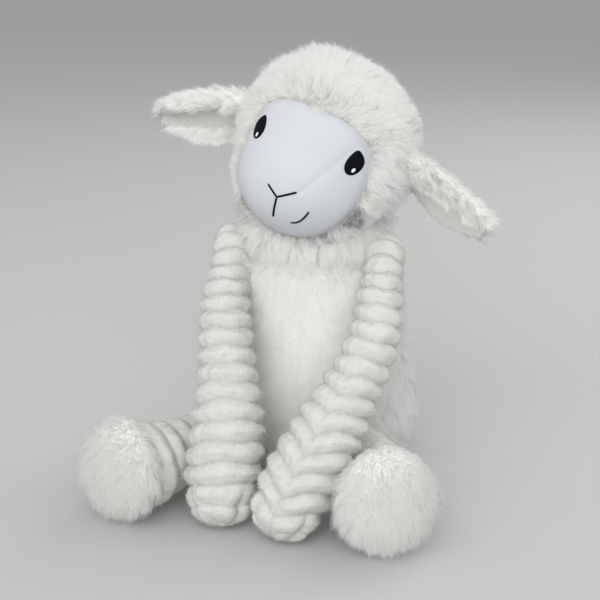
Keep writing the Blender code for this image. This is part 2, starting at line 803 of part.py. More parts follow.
def rib_rings(line, reference, first, last, ribs, radius_at, depth):
    """Rings of a ribbed sleeve: a valley and a crest for each rib."""
    rings = []
    for index in range(2 * ribs + 1):
        share = first + (last - first) * index / (2 * ribs)
        fall = 0.0 if index % 2 else depth
        rings.append(ring(line.point(share), line.direction(share), reference, radius_at(share) - fall))
    return rings


def plain_rings(line, reference, first, last, count, radius_at, inset):
    """Rings of a limb's inside, without ribs."""
    rings = []
    for step in steps(count):
        share = first + (last - first) * step
        rings.append(ring(line.point(share), line.direction(share), reference, radius_at(share) - inset))
    return rings


def arm_line(side):
    """Curve down the middle of an arm, from its shoulder to where its end begins to round."""
    out, forward, height = ELBOWS[side]
    elbow = Vector((SIDES[side] * out, -forward, height))
    out, forward = HANDS[side]
    hand = Vector((SIDES[side] * out, -forward, ARM_RADIUS))
    fall = (hand - elbow).normalized().z
    radius = arm_radius(1)
    hand.z = math.hypot(radius * ARM_END_SHARE * fall, radius * math.sqrt(1 - fall ** 2)) - FLOOR_CUT
    return BentLine(shoulder_place(side), elbow, hand)


def arm_radius(share):
    """Radius over the ribs at a share of the arm's length."""
    return ARM_RADIUS * smooth_value(ARM_LENGTH_SHARES, ARM_RADIUS_SHARES, share)


def arm_inner_rings(side, inset):
    """Rings of the inside of an arm, from its root to its end."""
    line = arm_line(side)
    reference = Vector((1.0, 0.0, 0.0))
    first = ARM_PLAIN_SHARE * root_end(ARM_ROOT_RADIUS) / line.lengths[-1]
    rings = root_rings(line.start, line.direction(0), reference, ARM_ROOT_RADIUS, inset)
    rings += plain_rings(line, reference, first, 1, ARM_RIBS // 2, arm_radius, ARM_RIB_DEPTH + inset)
    radius = arm_radius(1) - ARM_RIB_DEPTH - inset
    return rings + end_rings(line.point(1), line.direction(1), reference, radius, radius * ARM_END_SHARE)


def arm_cover(side, parent, room, floor):
    """Ribbed sleeve of an arm, open at the shoulder."""
    line = arm_line(side)
    reference = Vector((1.0, 0.0, 0.0))
    first = ARM_PLAIN_SHARE * root_end(ARM_ROOT_RADIUS) / line.lengths[-1]
    rings = root_rings(line.start, line.direction(0), reference, ARM_ROOT_RADIUS, 0.0)
    rings += rib_rings(line, reference, first, 1, ARM_RIBS, arm_radius, ARM_RIB_DEPTH)
    radius = arm_radius(1)
    rings += end_rings(line.point(1), line.direction(1), reference, radius, radius * ARM_END_SHARE)
    piece = loft_piece('arm_cover_' + side, list(reversed(arm_inner_rings(side, ARM_COVER))) + rings)
    cut(piece, room)
    cut(piece, floor)
    return dress(carry(piece, parent), rib_finish)


def arm_stuffing(side, parent, room):
    """Filling of an arm."""
    piece = loft_piece('arm_stuffing_' + side, arm_inner_rings(side, ARM_COVER + GAP))
    cut(piece, room)
    return dress(carry(piece, parent), filling_finish)


def leg_direction(side):
    """Direction from the hip to the sole."""
    out = math.radians(LEG_OUT_DEGREES)
    rise = (SOLE_RADIUS - FLOOR_CUT - HIP_HEIGHT) / SOLE_REACH
    return Vector((SIDES[side] * math.sin(out), -math.cos(out), rise)).normalized()


def leg_line(side):
    """Line down the middle of a leg, from its hip to its end behind the sole."""
    hip = hip_place(side)
    end = hip + leg_direction(side) * (SOLE_REACH - SOLE_BACK - GAP - LEG_RADIUS * LEG_END_SHARE)
    return BentLine(hip, (hip + end) / 2, end)


def leg_radius(share):
    """Radius over the ribs at a share of the leg's length."""
    return LEG_RADIUS * smooth_value(LEG_LENGTH_SHARES, LEG_RADIUS_SHARES, share)


def leg_inner_rings(side, inset):
    """Rings of the inside of a leg, from its root to its end."""
    line = leg_line(side)
    reference = Vector((0.0, 0.0, 1.0))
    first = LEG_PLAIN_SHARE * root_end(LEG_ROOT_RADIUS) / line.lengths[-1]
    rings = root_rings(line.start, line.direction(0), reference, LEG_ROOT_RADIUS, inset)
    rings += plain_rings(line, reference, first, 1, LEG_RIBS, leg_radius, LEG_RIB_DEPTH + inset)
    radius = leg_radius(1) - LEG_RIB_DEPTH - inset
    depth = LEG_RADIUS * LEG_END_SHARE - inset
    return rings + end_rings(line.point(1), line.direction(1), reference, radius, depth)


def leg_cover(side, parent, room):
    """Short ribbed leg, open at the hip and gathered in behind the sole."""
    line = leg_line(side)
    reference = Vector((0.0, 0.0, 1.0))
    first = LEG_PLAIN_SHARE * root_end(LEG_ROOT_RADIUS) / line.lengths[-1]
    rings = root_rings(line.start, line.direction(0), reference, LEG_ROOT_RADIUS, 0.0)
    rings += rib_rings(line, reference, first, 1, LEG_RIBS, leg_radius, LEG_RIB_DEPTH)
    rings += end_rings(line.point(1), line.direction(1), reference, leg_radius(1), LEG_RADIUS * LEG_END_SHARE)
    piece = loft_piece('leg_cover_' + side, list(reversed(leg_inner_rings(side, LEG_COVER))) + rings)
    cut(piece, room)
    return dress(carry(piece, parent), rib_finish)


def leg_stuffing(side, parent, room):
    """Filling of a leg."""
    piece = loft_piece('leg_stuffing_' + side, leg_inner_rings(side, LEG_COVER + GAP))
    cut(piece, room)
    return dress(carry(piece, parent), filling_finish)


def foot_sole(side, parent, floor):
    """Round fur sole on the end of a leg."""
    direction = leg_direction(side)
    centre = hip_place(side) + direction * SOLE_REACH
    back = math.asin(-SOLE_BACK / SOLE_HALF_DEPTH)
    rings = []
    for index in range(BALL_RINGS // 2 + 1):
        angle = back + (math.pi - 2 * back) * index / (BALL_RINGS + 1)
        rings.append(ring(centre + direction * SOLE_HALF_DEPTH * math.sin(angle), direction,
                          Vector((0.0, 0.0, 1.0)), SOLE_RADIUS * math.cos(angle), BALL_SIDES))
    piece = loft_piece('foot_sole_' + side, rings)
    cut(piece, floor)
    return dress(carry(piece, parent), fur_finish)


# Assembly
def build_body(seats, room):
    """Everything that stays with the seat."""
    body_cover(seats)
    body_stuffing(seats)
    seat_pellet_bag()
    tail(room)


def build_head(seats):
    """Neck, head, face and ears on their pivots."""
    turn = pivot('head_turn_pivot', neck_place())
    neck_stuffing(turn)
    tilt = pivot('head_tilt_pivot', neck_place(), turn)
    head_cover(tilt, seats, [ear_room(side, tilt) for side in SIDES])
    bridge_panel(tilt)
    muzzle_panel(tilt)
    head_stuffing(tilt, seats)
    nose_stitch(tilt)
    nose_stem_stitch(tilt)
    mouth_stitch(tilt)
    for side in SIDES:
        eye(side, tilt)
        eye_glint(side, tilt)
        flap = pivot('ear_pivot_' + side, head_place() @ EarFrame(side).hinge, tilt)
        ear_back(side, flap)
        ear_lining(side, flap)


def build_limbs(room, floor):
    """Arms and legs on their pivots."""
    for side in SIDES:
        shoulder = pivot('arm_pivot_' + side, shoulder_place(side))
        arm_cover(side, shoulder, room, floor)
        arm_stuffing(side, shoulder, room)
        hip = pivot('leg_pivot_' + side, hip_place(side))
        leg_cover(side, hip, room)
        leg_stuffing(side, hip, room)
        foot_sole(side, hip, floor)


def main():
    """Build the sheep."""
    for thing in list(bpy.data.objects):
        bpy.data.objects.remove(thing)
    seats = joint_balls('joint_seats', GAP)
    room = body_room(joint_balls('root_balls', GAP / 2))
    build_body(seats, room)
    build_head(seats)
    build_limbs(room, floor_slab())


main()
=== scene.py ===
"""Sitting plush sheep: fur, ribbed plush, smooth face and embroidery built over the fixed frame."""
import math

import bmesh
import bpy
import numpy as np
from mathutils import Matrix, Vector
from mathutils.kdtree import KDTree


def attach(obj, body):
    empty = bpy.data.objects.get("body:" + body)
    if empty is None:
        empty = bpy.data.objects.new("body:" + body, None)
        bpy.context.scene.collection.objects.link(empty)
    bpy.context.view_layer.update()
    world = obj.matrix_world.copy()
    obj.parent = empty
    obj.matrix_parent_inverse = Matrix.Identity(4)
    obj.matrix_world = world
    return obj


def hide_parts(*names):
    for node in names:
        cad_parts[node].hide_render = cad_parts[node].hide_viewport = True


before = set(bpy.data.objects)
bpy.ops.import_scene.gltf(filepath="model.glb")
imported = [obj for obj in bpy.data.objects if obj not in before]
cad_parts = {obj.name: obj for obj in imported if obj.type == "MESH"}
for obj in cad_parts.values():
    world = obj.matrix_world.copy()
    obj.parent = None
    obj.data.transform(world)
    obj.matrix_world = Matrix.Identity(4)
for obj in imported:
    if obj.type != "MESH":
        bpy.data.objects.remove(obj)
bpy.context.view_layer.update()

SIDES = {'left': 1.0, 'right': -1.0}
UP = np.array((0.0, 0.0, 1.0))

# Sizes of the frame's pieces, in metres
BODY_HEIGHT, BODY_HALF_WIDTH, BODY_HALF_DEPTH = 0.143, 0.066, 0.054
BODY_HEIGHT_SHARES = (0.0, 0.035, 0.12, 0.30, 0.55, 0.78, 0.90, 0.975, 1.0)
BODY_WIDTH_SHARES = (0.70, 0.86, 0.97, 1.0, 0.95, 0.86, 0.74, 0.46, 0.20)
NECK_PLACE = np.array((0.0, 0.0, 0.155))
HEAD_PLACE = (Matrix.Translation((0.0092, 0.0, 0.2075)) @ Matrix.Rotation(math.radians(17.0), 4, 'Y')
              @ Matrix.Rotation(math.radians(-5.5), 4, 'Z') @ Matrix.Rotation(math.radians(4.0), 4, 'X'))
HEAD_TURN, HEAD_SPOT = np.array(HEAD_PLACE)[:3, :3], np.array(HEAD_PLACE)[:3, 3]
HEAD_RADIUS, HEAD_COVER, HEAD_BLEND = 0.0495, 0.008, 0.008
MUZZLE_HALVES = np.array((0.042, 0.0430, 0.0375))
MUZZLE_CENTRE = np.array((0.0, -0.0215, -0.016))
FACE_THICKNESS, FACE_HALF_WIDTH, FACE_HALF_HEIGHT, FACE_DROP = 0.0022, 0.0425, 0.0415, 0.0095
ARM_RADIUS, ARM_RIB_DEPTH, ARM_ROOT_RADIUS = 0.0226, 0.0024, 0.0135
ARM_LENGTH_SHARES = (0.0, 0.12, 0.24, 0.38, 0.55, 0.68, 0.80, 0.92, 1.0)
ARM_RADIUS_SHARES = (0.48, 0.54, 0.63, 0.75, 0.83, 0.94, 1.0, 1.0, 0.95)
ARM_END_RADIUS, ARM_END_SHARE = ARM_RADIUS * ARM_RADIUS_SHARES[-1], 0.72
ARM_END_DEPTH = ARM_END_RADIUS * ARM_END_SHARE
SHOULDER = (0.049, 0.013, 0.136)
ELBOWS = {'left': (0.0620, 0.084, 0.132), 'right': (0.0290, 0.084, 0.128)}
HANDS = {'left': (0.0235, 0.125), 'right': (0.0225, 0.117)}
LEG_RADIUS, LEG_RIB_DEPTH, LEG_ROOT_RADIUS, LEG_END_SHARE = 0.0208, 0.0024, 0.0185, 0.20
LEG_LENGTH_SHARES = (0.0, 0.30, 0.60, 1.0)
LEG_RADIUS_SHARES = (0.74, 0.90, 1.0, 1.0)
HIP, LEG_OUT = (0.044, 0.044, 0.0255), math.radians(24.6)
SOLE_REACH, SOLE_RADIUS, SOLE_HALF_DEPTH, SOLE_BACK = 0.0902, 0.0300, 0.0185, 0.0080
TAIL_HALVES, TAIL_HEIGHT = np.array((0.011, 0.009, 0.019)), 0.034
EAR_LENGTH, EAR_HALF_WIDTH, EAR_BACK, EAR_LINING, EAR_PLAY = 0.057, 0.0190, 0.0060, 0.0020, 0.0009
EAR_CUP, EAR_STANDOFF, EAR_EDGE_SHARE = 0.0060, 0.0025, 0.45
EAR_LENGTH_SHARES = (0.0, 0.12, 0.30, 0.50, 0.68, 0.82, 0.93, 1.0)
EAR_WIDTH_SHARES = (0.82, 0.92, 1.0, 0.98, 0.88, 0.70, 0.46, 0.16)


# Numbers and vectors
def smooth_value(places, values, place):
    """Value at each place on a smooth curve through the given points."""
    place = np.asarray(place, float)
    places, values = np.array(places), np.array(values)
    last = len(places) - 1
    index = np.clip(np.searchsorted(places, place, side='left') - 1, 0, last - 1)
    before, after = np.maximum(index - 1, 0), np.minimum(index + 2, last)
    span = places[index + 1] - places[index]
    share = (place - places[index]) / span
    rise = values[index + 1] - values[index]
    slope_in = (values[index + 1] - values[before]) / (places[index + 1] - places[before]) * span
    slope_out = (values[after] - values[index]) / (places[after] - places[index]) * span
    bend = 3 * rise - 2 * slope_in - slope_out
    twist = slope_in + slope_out - 2 * rise
    return values[index] + share * (slope_in + share * (bend + share * twist))


def unit(vectors):
    """Vectors of length one."""
    vectors = np.asarray(vectors, float)
    return vectors / np.maximum(np.linalg.norm(vectors, axis=-1, keepdims=True), 1e-12)


def step(low, high, value):
    """Smooth step from 0 at low to 1 at high."""
    share = np.clip((value - low) / (high - low), 0.0, 1.0)
    return share * share * (3 - 2 * share)


def hump(value, centre, width):
    """Smooth hump of height 1 about a centre."""
    return np.exp(-((value - centre) / width) ** 2)


def turns(count):
    """Even angles round a full turn."""
    return np.linspace(0, 2 * math.pi, count, endpoint=False)


def waves(points, size, seed, count=7):
    """Soft noise from -1 to 1 whose lumps are about a size across."""
    random = np.random.default_rng(seed)
    directions = unit(random.normal(size=(count, 3))) * (2 * math.pi / size)
    directions *= random.uniform(0.6, 1.5, (count, 1))
    phases = random.uniform(0, 2 * math.pi, count)
    return np.sin(points @ directions.T + phases).sum(-1) / math.sqrt(count) / 1.4


def drifts(points, size, seeds):
    """Vectors of soft noise, from one seed for each direction."""
    return np.stack([waves(points, size, seed) for seed in seeds], -1)


def lengths_along(points):
    """Length of a route up to each of its points."""
    return np.concatenate(([0], np.cumsum(np.linalg.norm(np.diff(points, axis=0), axis=1))))


def to_world(points):
    """Points of the head's frame in the world."""
    return np.asarray(points) @ HEAD_TURN.T + HEAD_SPOT


def to_head(points):
    """Points of the world in the head's frame."""
    matrix = np.array(HEAD_PLACE.inverted())
    return np.asarray(points) @ matrix[:3, :3].T + matrix[:3, 3]


# Meshes
def make_mesh(name, points, corners, sizes, material, shade=None, facing=None):
    """Smooth object from points, the corners of its faces one after another, and how many each face has."""
    mesh = bpy.data.meshes.new(name)
    points = np.asarray(points, np.float32).reshape(-1, 3)
    mesh.vertices.add(len(points))
    mesh.vertices.foreach_set('co', points.ravel())
    mesh.loops.add(len(corners))
    mesh.loops.foreach_set('vertex_index', corners)
    mesh.polygons.add(len(sizes))
    mesh.polygons.foreach_set('loop_start', np.concatenate(([0], np.cumsum(sizes)[:-1])).astype(np.int32))
    mesh.polygons.foreach_set('use_smooth', np.ones(len(sizes), bool))
    mesh.update(calc_edges=True)
    mesh.validate()
    for layer, kind, key, values in (('shade', 'FLOAT', 'value', shade),
                                     ('skin_facing', 'FLOAT_VECTOR', 'vector', facing)):
        if values is not None:
            data = mesh.attributes.new(layer, kind, 'POINT').data
            data.foreach_set(key, np.asarray(values, np.float32).ravel())
    mesh.materials.append(material)
    piece = bpy.data.objects.new(name, mesh)
    bpy.context.scene.collection.objects.link(piece)
    return piece


def tube(name, grid, material, body, nodes, slot):
    """Closed piece from rings, riding on a body in place of nodes; its slot argument is not used."""
    rows, columns = grid.shape[:2]
    around = np.arange(columns)
    after = (around + 1) % columns
    row = np.arange(rows - 1)[:, None] * columns
    above = row + columns
    faces = np.stack((row + around, row + after, above + after, above + around), -1)
    low = np.stack((after, around, np.full(columns, rows * columns)), -1)
    high = np.stack((above[-1] + around, above[-1] + after, np.full(columns, rows * columns + 1)), -1)
    points = np.concatenate((grid.reshape(-1, 3), [grid[0].mean(0)], [grid[-1].mean(0)]))
    corners = np.concatenate((faces.ravel(), low.ravel(), high.ravel()))
    piece = make_mesh(name, points, corners, [4] * (rows - 1) * columns + [3] * 2 * columns, material)
    bm = bmesh.new()
    bm.from_mesh(piece.data)
    bmesh.ops.recalc_face_normals(bm, faces=bm.faces)
    bm.to_mesh(piece.data)
    bm.free()
    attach(piece, body)
    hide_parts(*nodes)
    return piece


def globe(rise, columns):
    """Rings of directions at angles from straight up."""
    rise, turn = rise[:, None], turns(columns)
    return np.stack((np.sin(rise) * np.cos(turn), np.sin(rise) * np.sin(turn), np.cos(rise) + 0 * turn), -1)


def ball_rings(centre, halves, rows=24, columns=36):
    """Rings of an ellipsoid about a centre, from its bottom to its top."""
    return centre + globe(np.linspace(0.03, math.pi - 0.03, rows), columns) * halves * (1, 1, -1)


def circle(direction, reference, columns):
    """Directions all round a direction, from the side that a reference lies on."""
    first = unit(reference - direction * (reference @ direction))
    turn = turns(columns)[:, None]
    return first * np.cos(turn) + np.cross(direction, first) * np.sin(turn)


# Materials
def shader_tools(name):
    """New material and a function that adds a node, with inputs as values or nodes, and settings."""
    material = bpy.data.materials.new(name)
    material.use_nodes = True
    tree = material.node_tree
    tree.nodes.clear()

    def add(kind, inputs=None, **settings):
        node = tree.nodes.new(kind)
        for key, value in settings.items():
            setattr(node, key, value)
        for key, value in (inputs or {}).items():
            if isinstance(value, bpy.types.Node):
                value = value.outputs[0]
            if isinstance(value, bpy.types.NodeSocket):
                tree.links.new(value, node.inputs[key])
            else:
                node.inputs[key].default_value = value
        return node

    return material, add


def noise_value(add, size, roughness):
    """Noise whose lumps are about a size across, in metres."""
    place = add('ShaderNodeTexCoord').outputs['Object']
    values = {'Vector': place, 'Scale': 1.0 / size, 'Detail': 2.0, 'Roughness': roughness}
    return add('ShaderNodeTexNoise', values).outputs['Fac']


def mixed_colour(add, factor, low, high):
    """Colour between two, by a factor."""
    return add('ShaderNodeMix', {0: factor, 6: (*low, 1.0), 7: (*high, 1.0)}, data_type='RGBA').outputs[2]


def mixed_shader(add, share, first, second):
    """Shader between two, by a share of the second."""
    return add('ShaderNodeMixShader', {'Fac': share, 1: first, 2: second})


def pile_material(name, root, tip, own, glow, turned_share=0.25, shadow_share=0.92):
    """Strands of pile, lit as the skin below them is, and partly see-through to light; painted shade makes
    each strand's colour darker at its root, deep in the pile, than at its tip.
    """
    material, add = shader_tools(name)
    shade = add('ShaderNodeAttribute', attribute_name='shade').outputs['Fac']
    colour = mixed_colour(add, shade, root, tip)
    skin = add('ShaderNodeAttribute', attribute_name='skin_facing').outputs['Vector']
    facing = add('ShaderNodeVectorTransform', {0: skin}, vector_type='NORMAL', convert_from='OBJECT',
                 convert_to='WORLD')
    away = add('ShaderNodeVectorMath', {0: facing, 'Scale': -1.0}, operation='SCALE')
    base = add('ShaderNodeBsdfDiffuse', {'Normal': facing, 'Color': colour})
    behind = add('ShaderNodeBsdfTranslucent', {'Normal': away, 'Color': colour})
    strand = add('ShaderNodeBsdfPrincipled', {
        'Base Color': colour, 'Roughness': 0.9, 'Specular IOR Level': 0.1})
    through = add('ShaderNodeBsdfTranslucent', {'Color': colour})
    whole = mixed_shader(add, turned_share, base, behind)
    lit = mixed_shader(add, own, whole, strand)
    joined = mixed_shader(add, glow, lit, through)
    # shadows inside the pile are soft, as light passes through fine fibres
    shadow = add('ShaderNodeLightPath').outputs['Is Shadow Ray']
    passed = add('ShaderNodeMath', {0: shadow, 1: shadow_share}, operation='MULTIPLY')
    surface = mixed_shader(add, passed, joined, add('ShaderNodeBsdfTransparent'))
    add('ShaderNodeOutputMaterial', {'Surface': surface})
    return material


def cloth_material(name, dark, light, nap, patch, bump):
    """Short-pile cloth: patches of light and dark nap, and a fine grain."""
    material, add = shader_tools(name)
    broad, fine = noise_value(add, patch, 0.55), noise_value(add, nap, 0.7)
    broad_part = add('ShaderNodeMath', {0: broad, 1: 0.60}, operation='MULTIPLY')
    share = add('ShaderNodeMath', {0: fine, 1: 0.45, 2: broad_part}, operation='MULTIPLY_ADD')
    relief = add('ShaderNodeBump', {'Strength': 0.5, 'Distance': bump, 'Height': fine})
    base = add('ShaderNodeBsdfPrincipled', {
        'Base Color': mixed_colour(add, share, dark, light), 'Normal': relief, 'Roughness': 0.92,
        'Specular IOR Level': 0.2, 'Sheen Weight': 0.10, 'Sheen Roughness': 0.6})
    add('ShaderNodeOutputMaterial', {'Surface': base})
    return material


def plain_material(name, colour, roughness=0.9, specular=0.2):
    """One even colour."""
    material, add = shader_tools(name)
    values = {'Base Color': (*colour, 1.0), 'Roughness': roughness, 'Specular IOR Level': specular}
    add('ShaderNodeOutputMaterial', {'Surface': add('ShaderNodeBsdfPrincipled', values)})
    return material


# painted shade: in each pile below, the root colour is darker than the tip, for the shade deep in the pile
FUR = pile_material('fur_pile', root=(0.81, 0.80, 0.775), tip=(0.87, 0.867, 0.858), own=0.20, glow=0.18)
# painted shade: the soles' pile is a little darker than the body's, for the shade on the soles, which face
# forward and down
SHADED_SOLE_FUR = pile_material('sole_pile_painted_shade', root=(0.78, 0.77, 0.75), tip=(0.84, 0.835, 0.82), own=0.08, glow=0.18,
                         turned_share=0.35)
NAP = pile_material('rib_pile', root=(0.64, 0.63, 0.61), tip=(0.68, 0.67, 0.655), own=1.0, glow=0.45)
EAR_FUR = pile_material('ear_pile', root=(0.94, 0.935, 0.915), tip=(0.97, 0.967, 0.958), own=0.25, glow=0.30,
                        turned_share=0.4)
SKIN = plain_material('fur_backing', (0.88, 0.875, 0.855))
# painted shade: a darker backing under the fur of the ears and head, so that where it shows through the fur
# or at an edge it reads as shade
PAINTED_SHADE_BACKING = plain_material('painted_shade_backing', (0.58, 0.575, 0.56))
RIB = cloth_material('ribbed_plush', dark=(0.60, 0.59, 0.57), light=(0.68, 0.67, 0.65),
                     nap=0.0010, patch=0.010, bump=0.0003)
VELBOA = cloth_material('smooth_plush', dark=(0.575, 0.595, 0.63), light=(0.605, 0.625, 0.66),
                        nap=0.0007, patch=0.02, bump=0.0003)
# partly painted shade: the lining's own greyish colour, made a little darker for the shade in the ear's
# hollow
SHADED_LINING = cloth_material('ear_lining_plush_painted_shade', dark=(0.56, 0.545, 0.53), light=(0.63, 0.62, 0.605),
                        nap=0.0008, patch=0.010, bump=0.0002)
THREAD = plain_material('dark_thread', (0.004, 0.0045, 0.008), roughness=0.6, specular=0.06)
GLINT = plain_material('white_thread', (0.85, 0.85, 0.86), roughness=0.5)


# Fur
FACES_PER_PIECE, FLOOR_GAP, BACKING_FILL = 180000, 0.0003, 0.7


def surface_of(piece):
    """Triangles of a piece in the world, with a smooth normal at each corner."""
    def read(parts, key, kind=float):
        values = np.zeros(len(parts) * 3, kind)
        parts.foreach_get(key, values)
        return values.reshape(-1, 3)

    mesh = piece.data
    mesh.calc_loop_triangles()
    corners = read(mesh.loop_triangles, 'vertices', np.int32)
    return read(mesh.vertices, 'co')[corners], read(mesh.vertices, 'normal')[corners]


def scatter(surface, density, random, keep=None):
    """Random points on triangles, at a density per square metre, with their normals."""
    corners, normals = surface
    areas = np.linalg.norm(np.cross(corners[:, 1] - corners[:, 0], corners[:, 2] - corners[:, 0]), axis=1) / 2
    count = int(areas.sum() * density)
    chosen = np.searchsorted(np.cumsum(areas) / areas.sum(), random.random(count))
    chosen = np.minimum(chosen, len(areas) - 1)
    first, second = random.random((2, count))
    over = first + second > 1
    first[over], second[over] = 1 - first[over], 1 - second[over]
    weights = np.stack((1 - first - second, first, second), -1)[..., None]
    points = (corners[chosen] * weights).sum(1)
    facing = unit((normals[chosen] * weights).sum(1))
    if keep is not None:
        inside = keep(points, facing)
        points, facing = points[inside], facing[inside]
    return points, facing


def nearest(points, centres):
    """Index of the nearest centre for each point."""
    tree = KDTree(len(centres))
    for index, centre in enumerate(centres):
        tree.insert(centre, index)
    tree.balance()
    return np.array([tree.find(point)[1] for point in points])


def flat_to(vectors, facing):
    """Unit vectors turned into the plane that faces a direction."""
    return unit(vectors - facing * (vectors * facing).sum(-1, keepdims=True))


def pile(name, source, body, density, length, width, comb, lean=0.9, clump=0.0045, gather=0.3, mess=0.3,
         keep=None, seed=1, material=FUR, segments=3, bend=None, bend_share=0.5):
    """Strands of pile over a source piece, in soft clumps, as ribbons in pieces that ride on a body."""
    random = np.random.default_rng(seed)
    surface = surface_of(source)
    roots, facing = scatter(surface, density, random, keep)
    if clump:
        centres, centre_facing = scatter(surface, 1 / clump ** 2, random, keep)
        owner = nearest(roots, centres)
    else:
        centres, centre_facing, owner, gather = roots[:1], facing[:1], np.zeros(len(roots), int), 0.0
    count = len(roots)
    reach = length(roots, facing) if callable(length) else np.full(count, length)
    tilt = lean(roots, facing) if callable(lean) else np.full(count, lean)
    typical, slope = reach.mean(), tilt.mean()
    swirl = random.normal(size=(len(centres), 3)) * mess
    stir = random.normal(size=(count, 3)) * mess * 0.6
    direction = flat_to(flat_to(comb(roots, facing), facing) + swirl[owner] + stir, facing)
    tilt = tilt + random.normal(size=len(centres))[owner] * 0.10 + random.normal(size=count) * 0.10
    tilt = np.clip(tilt, 0.1, 1.40)
    size = reach * (1 + 0.18 * random.normal(size=count)).clip(0.5, 1.5)
    size *= (1 + 0.10 * random.normal(size=len(centres)))[owner].clip(0.6, 1.4)
    # the middle of each clump draws its strands together towards their tips
    centre_direction = unit(flat_to(comb(centres, centre_facing), centre_facing) + swirl)
    middle = centres + centre_facing * (math.cos(slope) * 0.9 * typical) \
        + centre_direction * (math.sin(slope) * typical)
    lines = []
    for share in np.arange(segments + 1) / segments:
        point = roots + facing * (size * (share * np.cos(tilt) * (1.25 - 0.25 * share)))[:, None] \
            + direction * (size * share ** 1.6 * np.sin(tilt))[:, None]
        pull = gather * share ** 1.5
        lines.append(point * (1 - pull) + (roots + (middle[owner] - roots) * share) * pull)
    turn = np.clip(random.normal(size=count) * 0.5, -1.1, 1.1)
    tone = np.clip(0.78 + 0.08 * random.normal(size=count) + 0.06 * random.normal(size=len(centres))[owner],
                   0.3, 1.0)
    # each strand is a ribbon that narrows to a single point at its tip
    points, shades = [], []
    for index, line in enumerate(lines[:-1]):
        share = index / segments
        ahead = unit(lines[index + 1] - line)
        flat = unit(np.cross(ahead, facing))
        side = flat * np.cos(turn)[:, None] + np.cross(ahead, flat) * np.sin(turn)[:, None]
        half = side * (width / 2 * (1 - 0.55 * share))
        points += [line - half, line + half]
        # painted shade: a strand's colour is darker at its root, deep in the pile, and lighter to its tip;
        # its tone also differs at random by strand and clump
        shades += [tone * (0.45 + 0.55 * share)] * 2
    points = np.stack(points + [lines[-1]], 1)
    shades = np.stack(shades + [tone], 1)
    points[..., 2] = np.maximum(points[..., 2], FLOOR_GAP)
    # the light falls on a strand as on the skin at its root, partly turned as the form's broad shape
    above = unit(facing * 0.8 + flat_to(facing, unit(lines[1] - lines[0])) * 0.2)
    if bend is not None:
        above = unit(above * (1 - bend_share) + unit(bend(roots)) * bend_share)
    per = 2 * segments + 1
    corners = [2 * index + corner for index in range(segments - 1) for corner in (0, 1, 3, 2)]
    corners += [per - 3, per - 2, per - 1]
    pieces = max(1, math.ceil(count * (2 * segments - 1) / FACES_PER_PIECE))
    for number in range(pieces):
        part = points[number::pieces]
        faces = (np.array(corners) + (np.arange(len(part)) * per)[:, None]).ravel()
        sizes = ([4] * (segments - 1) + [3]) * len(part)
        piece = make_mesh(f'{name}_{number + 1}', part, faces, sizes, material, shades[number::pieces],
                          np.repeat(above[number::pieces], per, 0))
        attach(piece, body)


def nap(name, source, body, seed):
    """Sparse short nap over ribbed plush."""
    pile(name, source, body, 2.0e6, 0.0015, 0.00013, lambda p, n: -UP + 0 * n, lean=0.5, clump=None, mess=0.9,
         seed=seed, material=NAP, segments=1)


# Body, neck and tail
BODY_INSET, NECK_INSET, TAIL_INSET = 0.0045, 0.003, 0.003
BODY_FUR, BODY_FUR_AT_FLOOR, COLLAR_FUR, NECK_FUR, TAIL_FUR = 0.0095, 0.45, 0.0040, 0.013, 0.009
COLLAR_OUT, COLLAR_UP = 0.0090, 0.0095
NECK_HALVES = (0.043, 0.036, 0.028)
# points that the light on the fur of body and neck is turned about, behind their middles
FUR_MIDDLE = np.array((0.0, 0.03, 0.0))
NECK_FUR_MIDDLE = np.array((0.0, 0.03, 0.10))


def falling(points, facing):
    """Comb of fur that falls and stands off a little."""
    return -UP + facing * 0.1


def body_skin(rows=72, columns=120):
    """Rings of the body's backing under its fur, with soft lumps, wider and higher round the neck."""
    share = (1 - np.cos(math.pi * np.linspace(0.02, 0.99, rows))) / 2
    wide = smooth_value(BODY_HEIGHT_SHARES, BODY_WIDTH_SHARES, share)
    turn = turns(columns)
    height = BODY_HEIGHT * share - BODY_INSET * (2 * share - 1)
    across = BODY_HALF_WIDTH * wide - BODY_INSET
    deep = BODY_HALF_DEPTH * wide - BODY_INSET
    grid = np.stack((across[:, None] * np.cos(turn), deep[:, None] * np.sin(turn),
                     np.repeat(height[:, None], columns, 1)), -1)
    out = unit(grid * (1, 1, 0))
    grid = grid + out * (waves(grid, 0.045, 11)[..., None] * 0.0012)
    grid = grid + out * (COLLAR_OUT * step(0.112, 0.136, grid[..., 2:]))
    grid[..., 2] += COLLAR_UP * step(0.100, 0.143, grid[..., 2])
    grid[..., 2] = np.maximum(grid[..., 2], 0.001)
    return grid


def body_comb(points, facing):
    """Fur of the body falls, and parts a little from the middle of the chest."""
    side = np.sign(points[:, :1]) * (0.35, 0.0, 0.0) * step(0.0, 0.02, np.abs(points[:, :1]))
    return -UP + side + drifts(points, 0.03, (21, 22, 22)) * (0.30, 0.30, 0.0)


def body_length(points, facing):
    """Fur is shorter where the body meets the floor, and longest round the neck."""
    high = points[:, 2]
    return BODY_FUR * (BODY_FUR_AT_FLOOR + (1 - BODY_FUR_AT_FLOOR) * step(0.0, 0.02, high)) \
        + COLLAR_FUR * step(0.125, 0.146, high)


def make_body():
    """Fur of the body, which lies close and stands up round the neck."""
    skin = tube('body_fur_backing', body_skin(), SKIN, 'seat', ['body_cover'], 'fur')
    pile('body_fur', skin, 'seat', 3.2e6, body_length, 0.00025, body_comb,
         lean=lambda p, n: 1.05 - 0.50 * step(0.122, 0.146, p[:, 2]), clump=0.004, gather=0.22, seed=31,
         keep=lambda p, n: (p[:, 2] > 0.004) & (n[:, 2] > -0.8), bend=lambda p: p - FUR_MIDDLE)


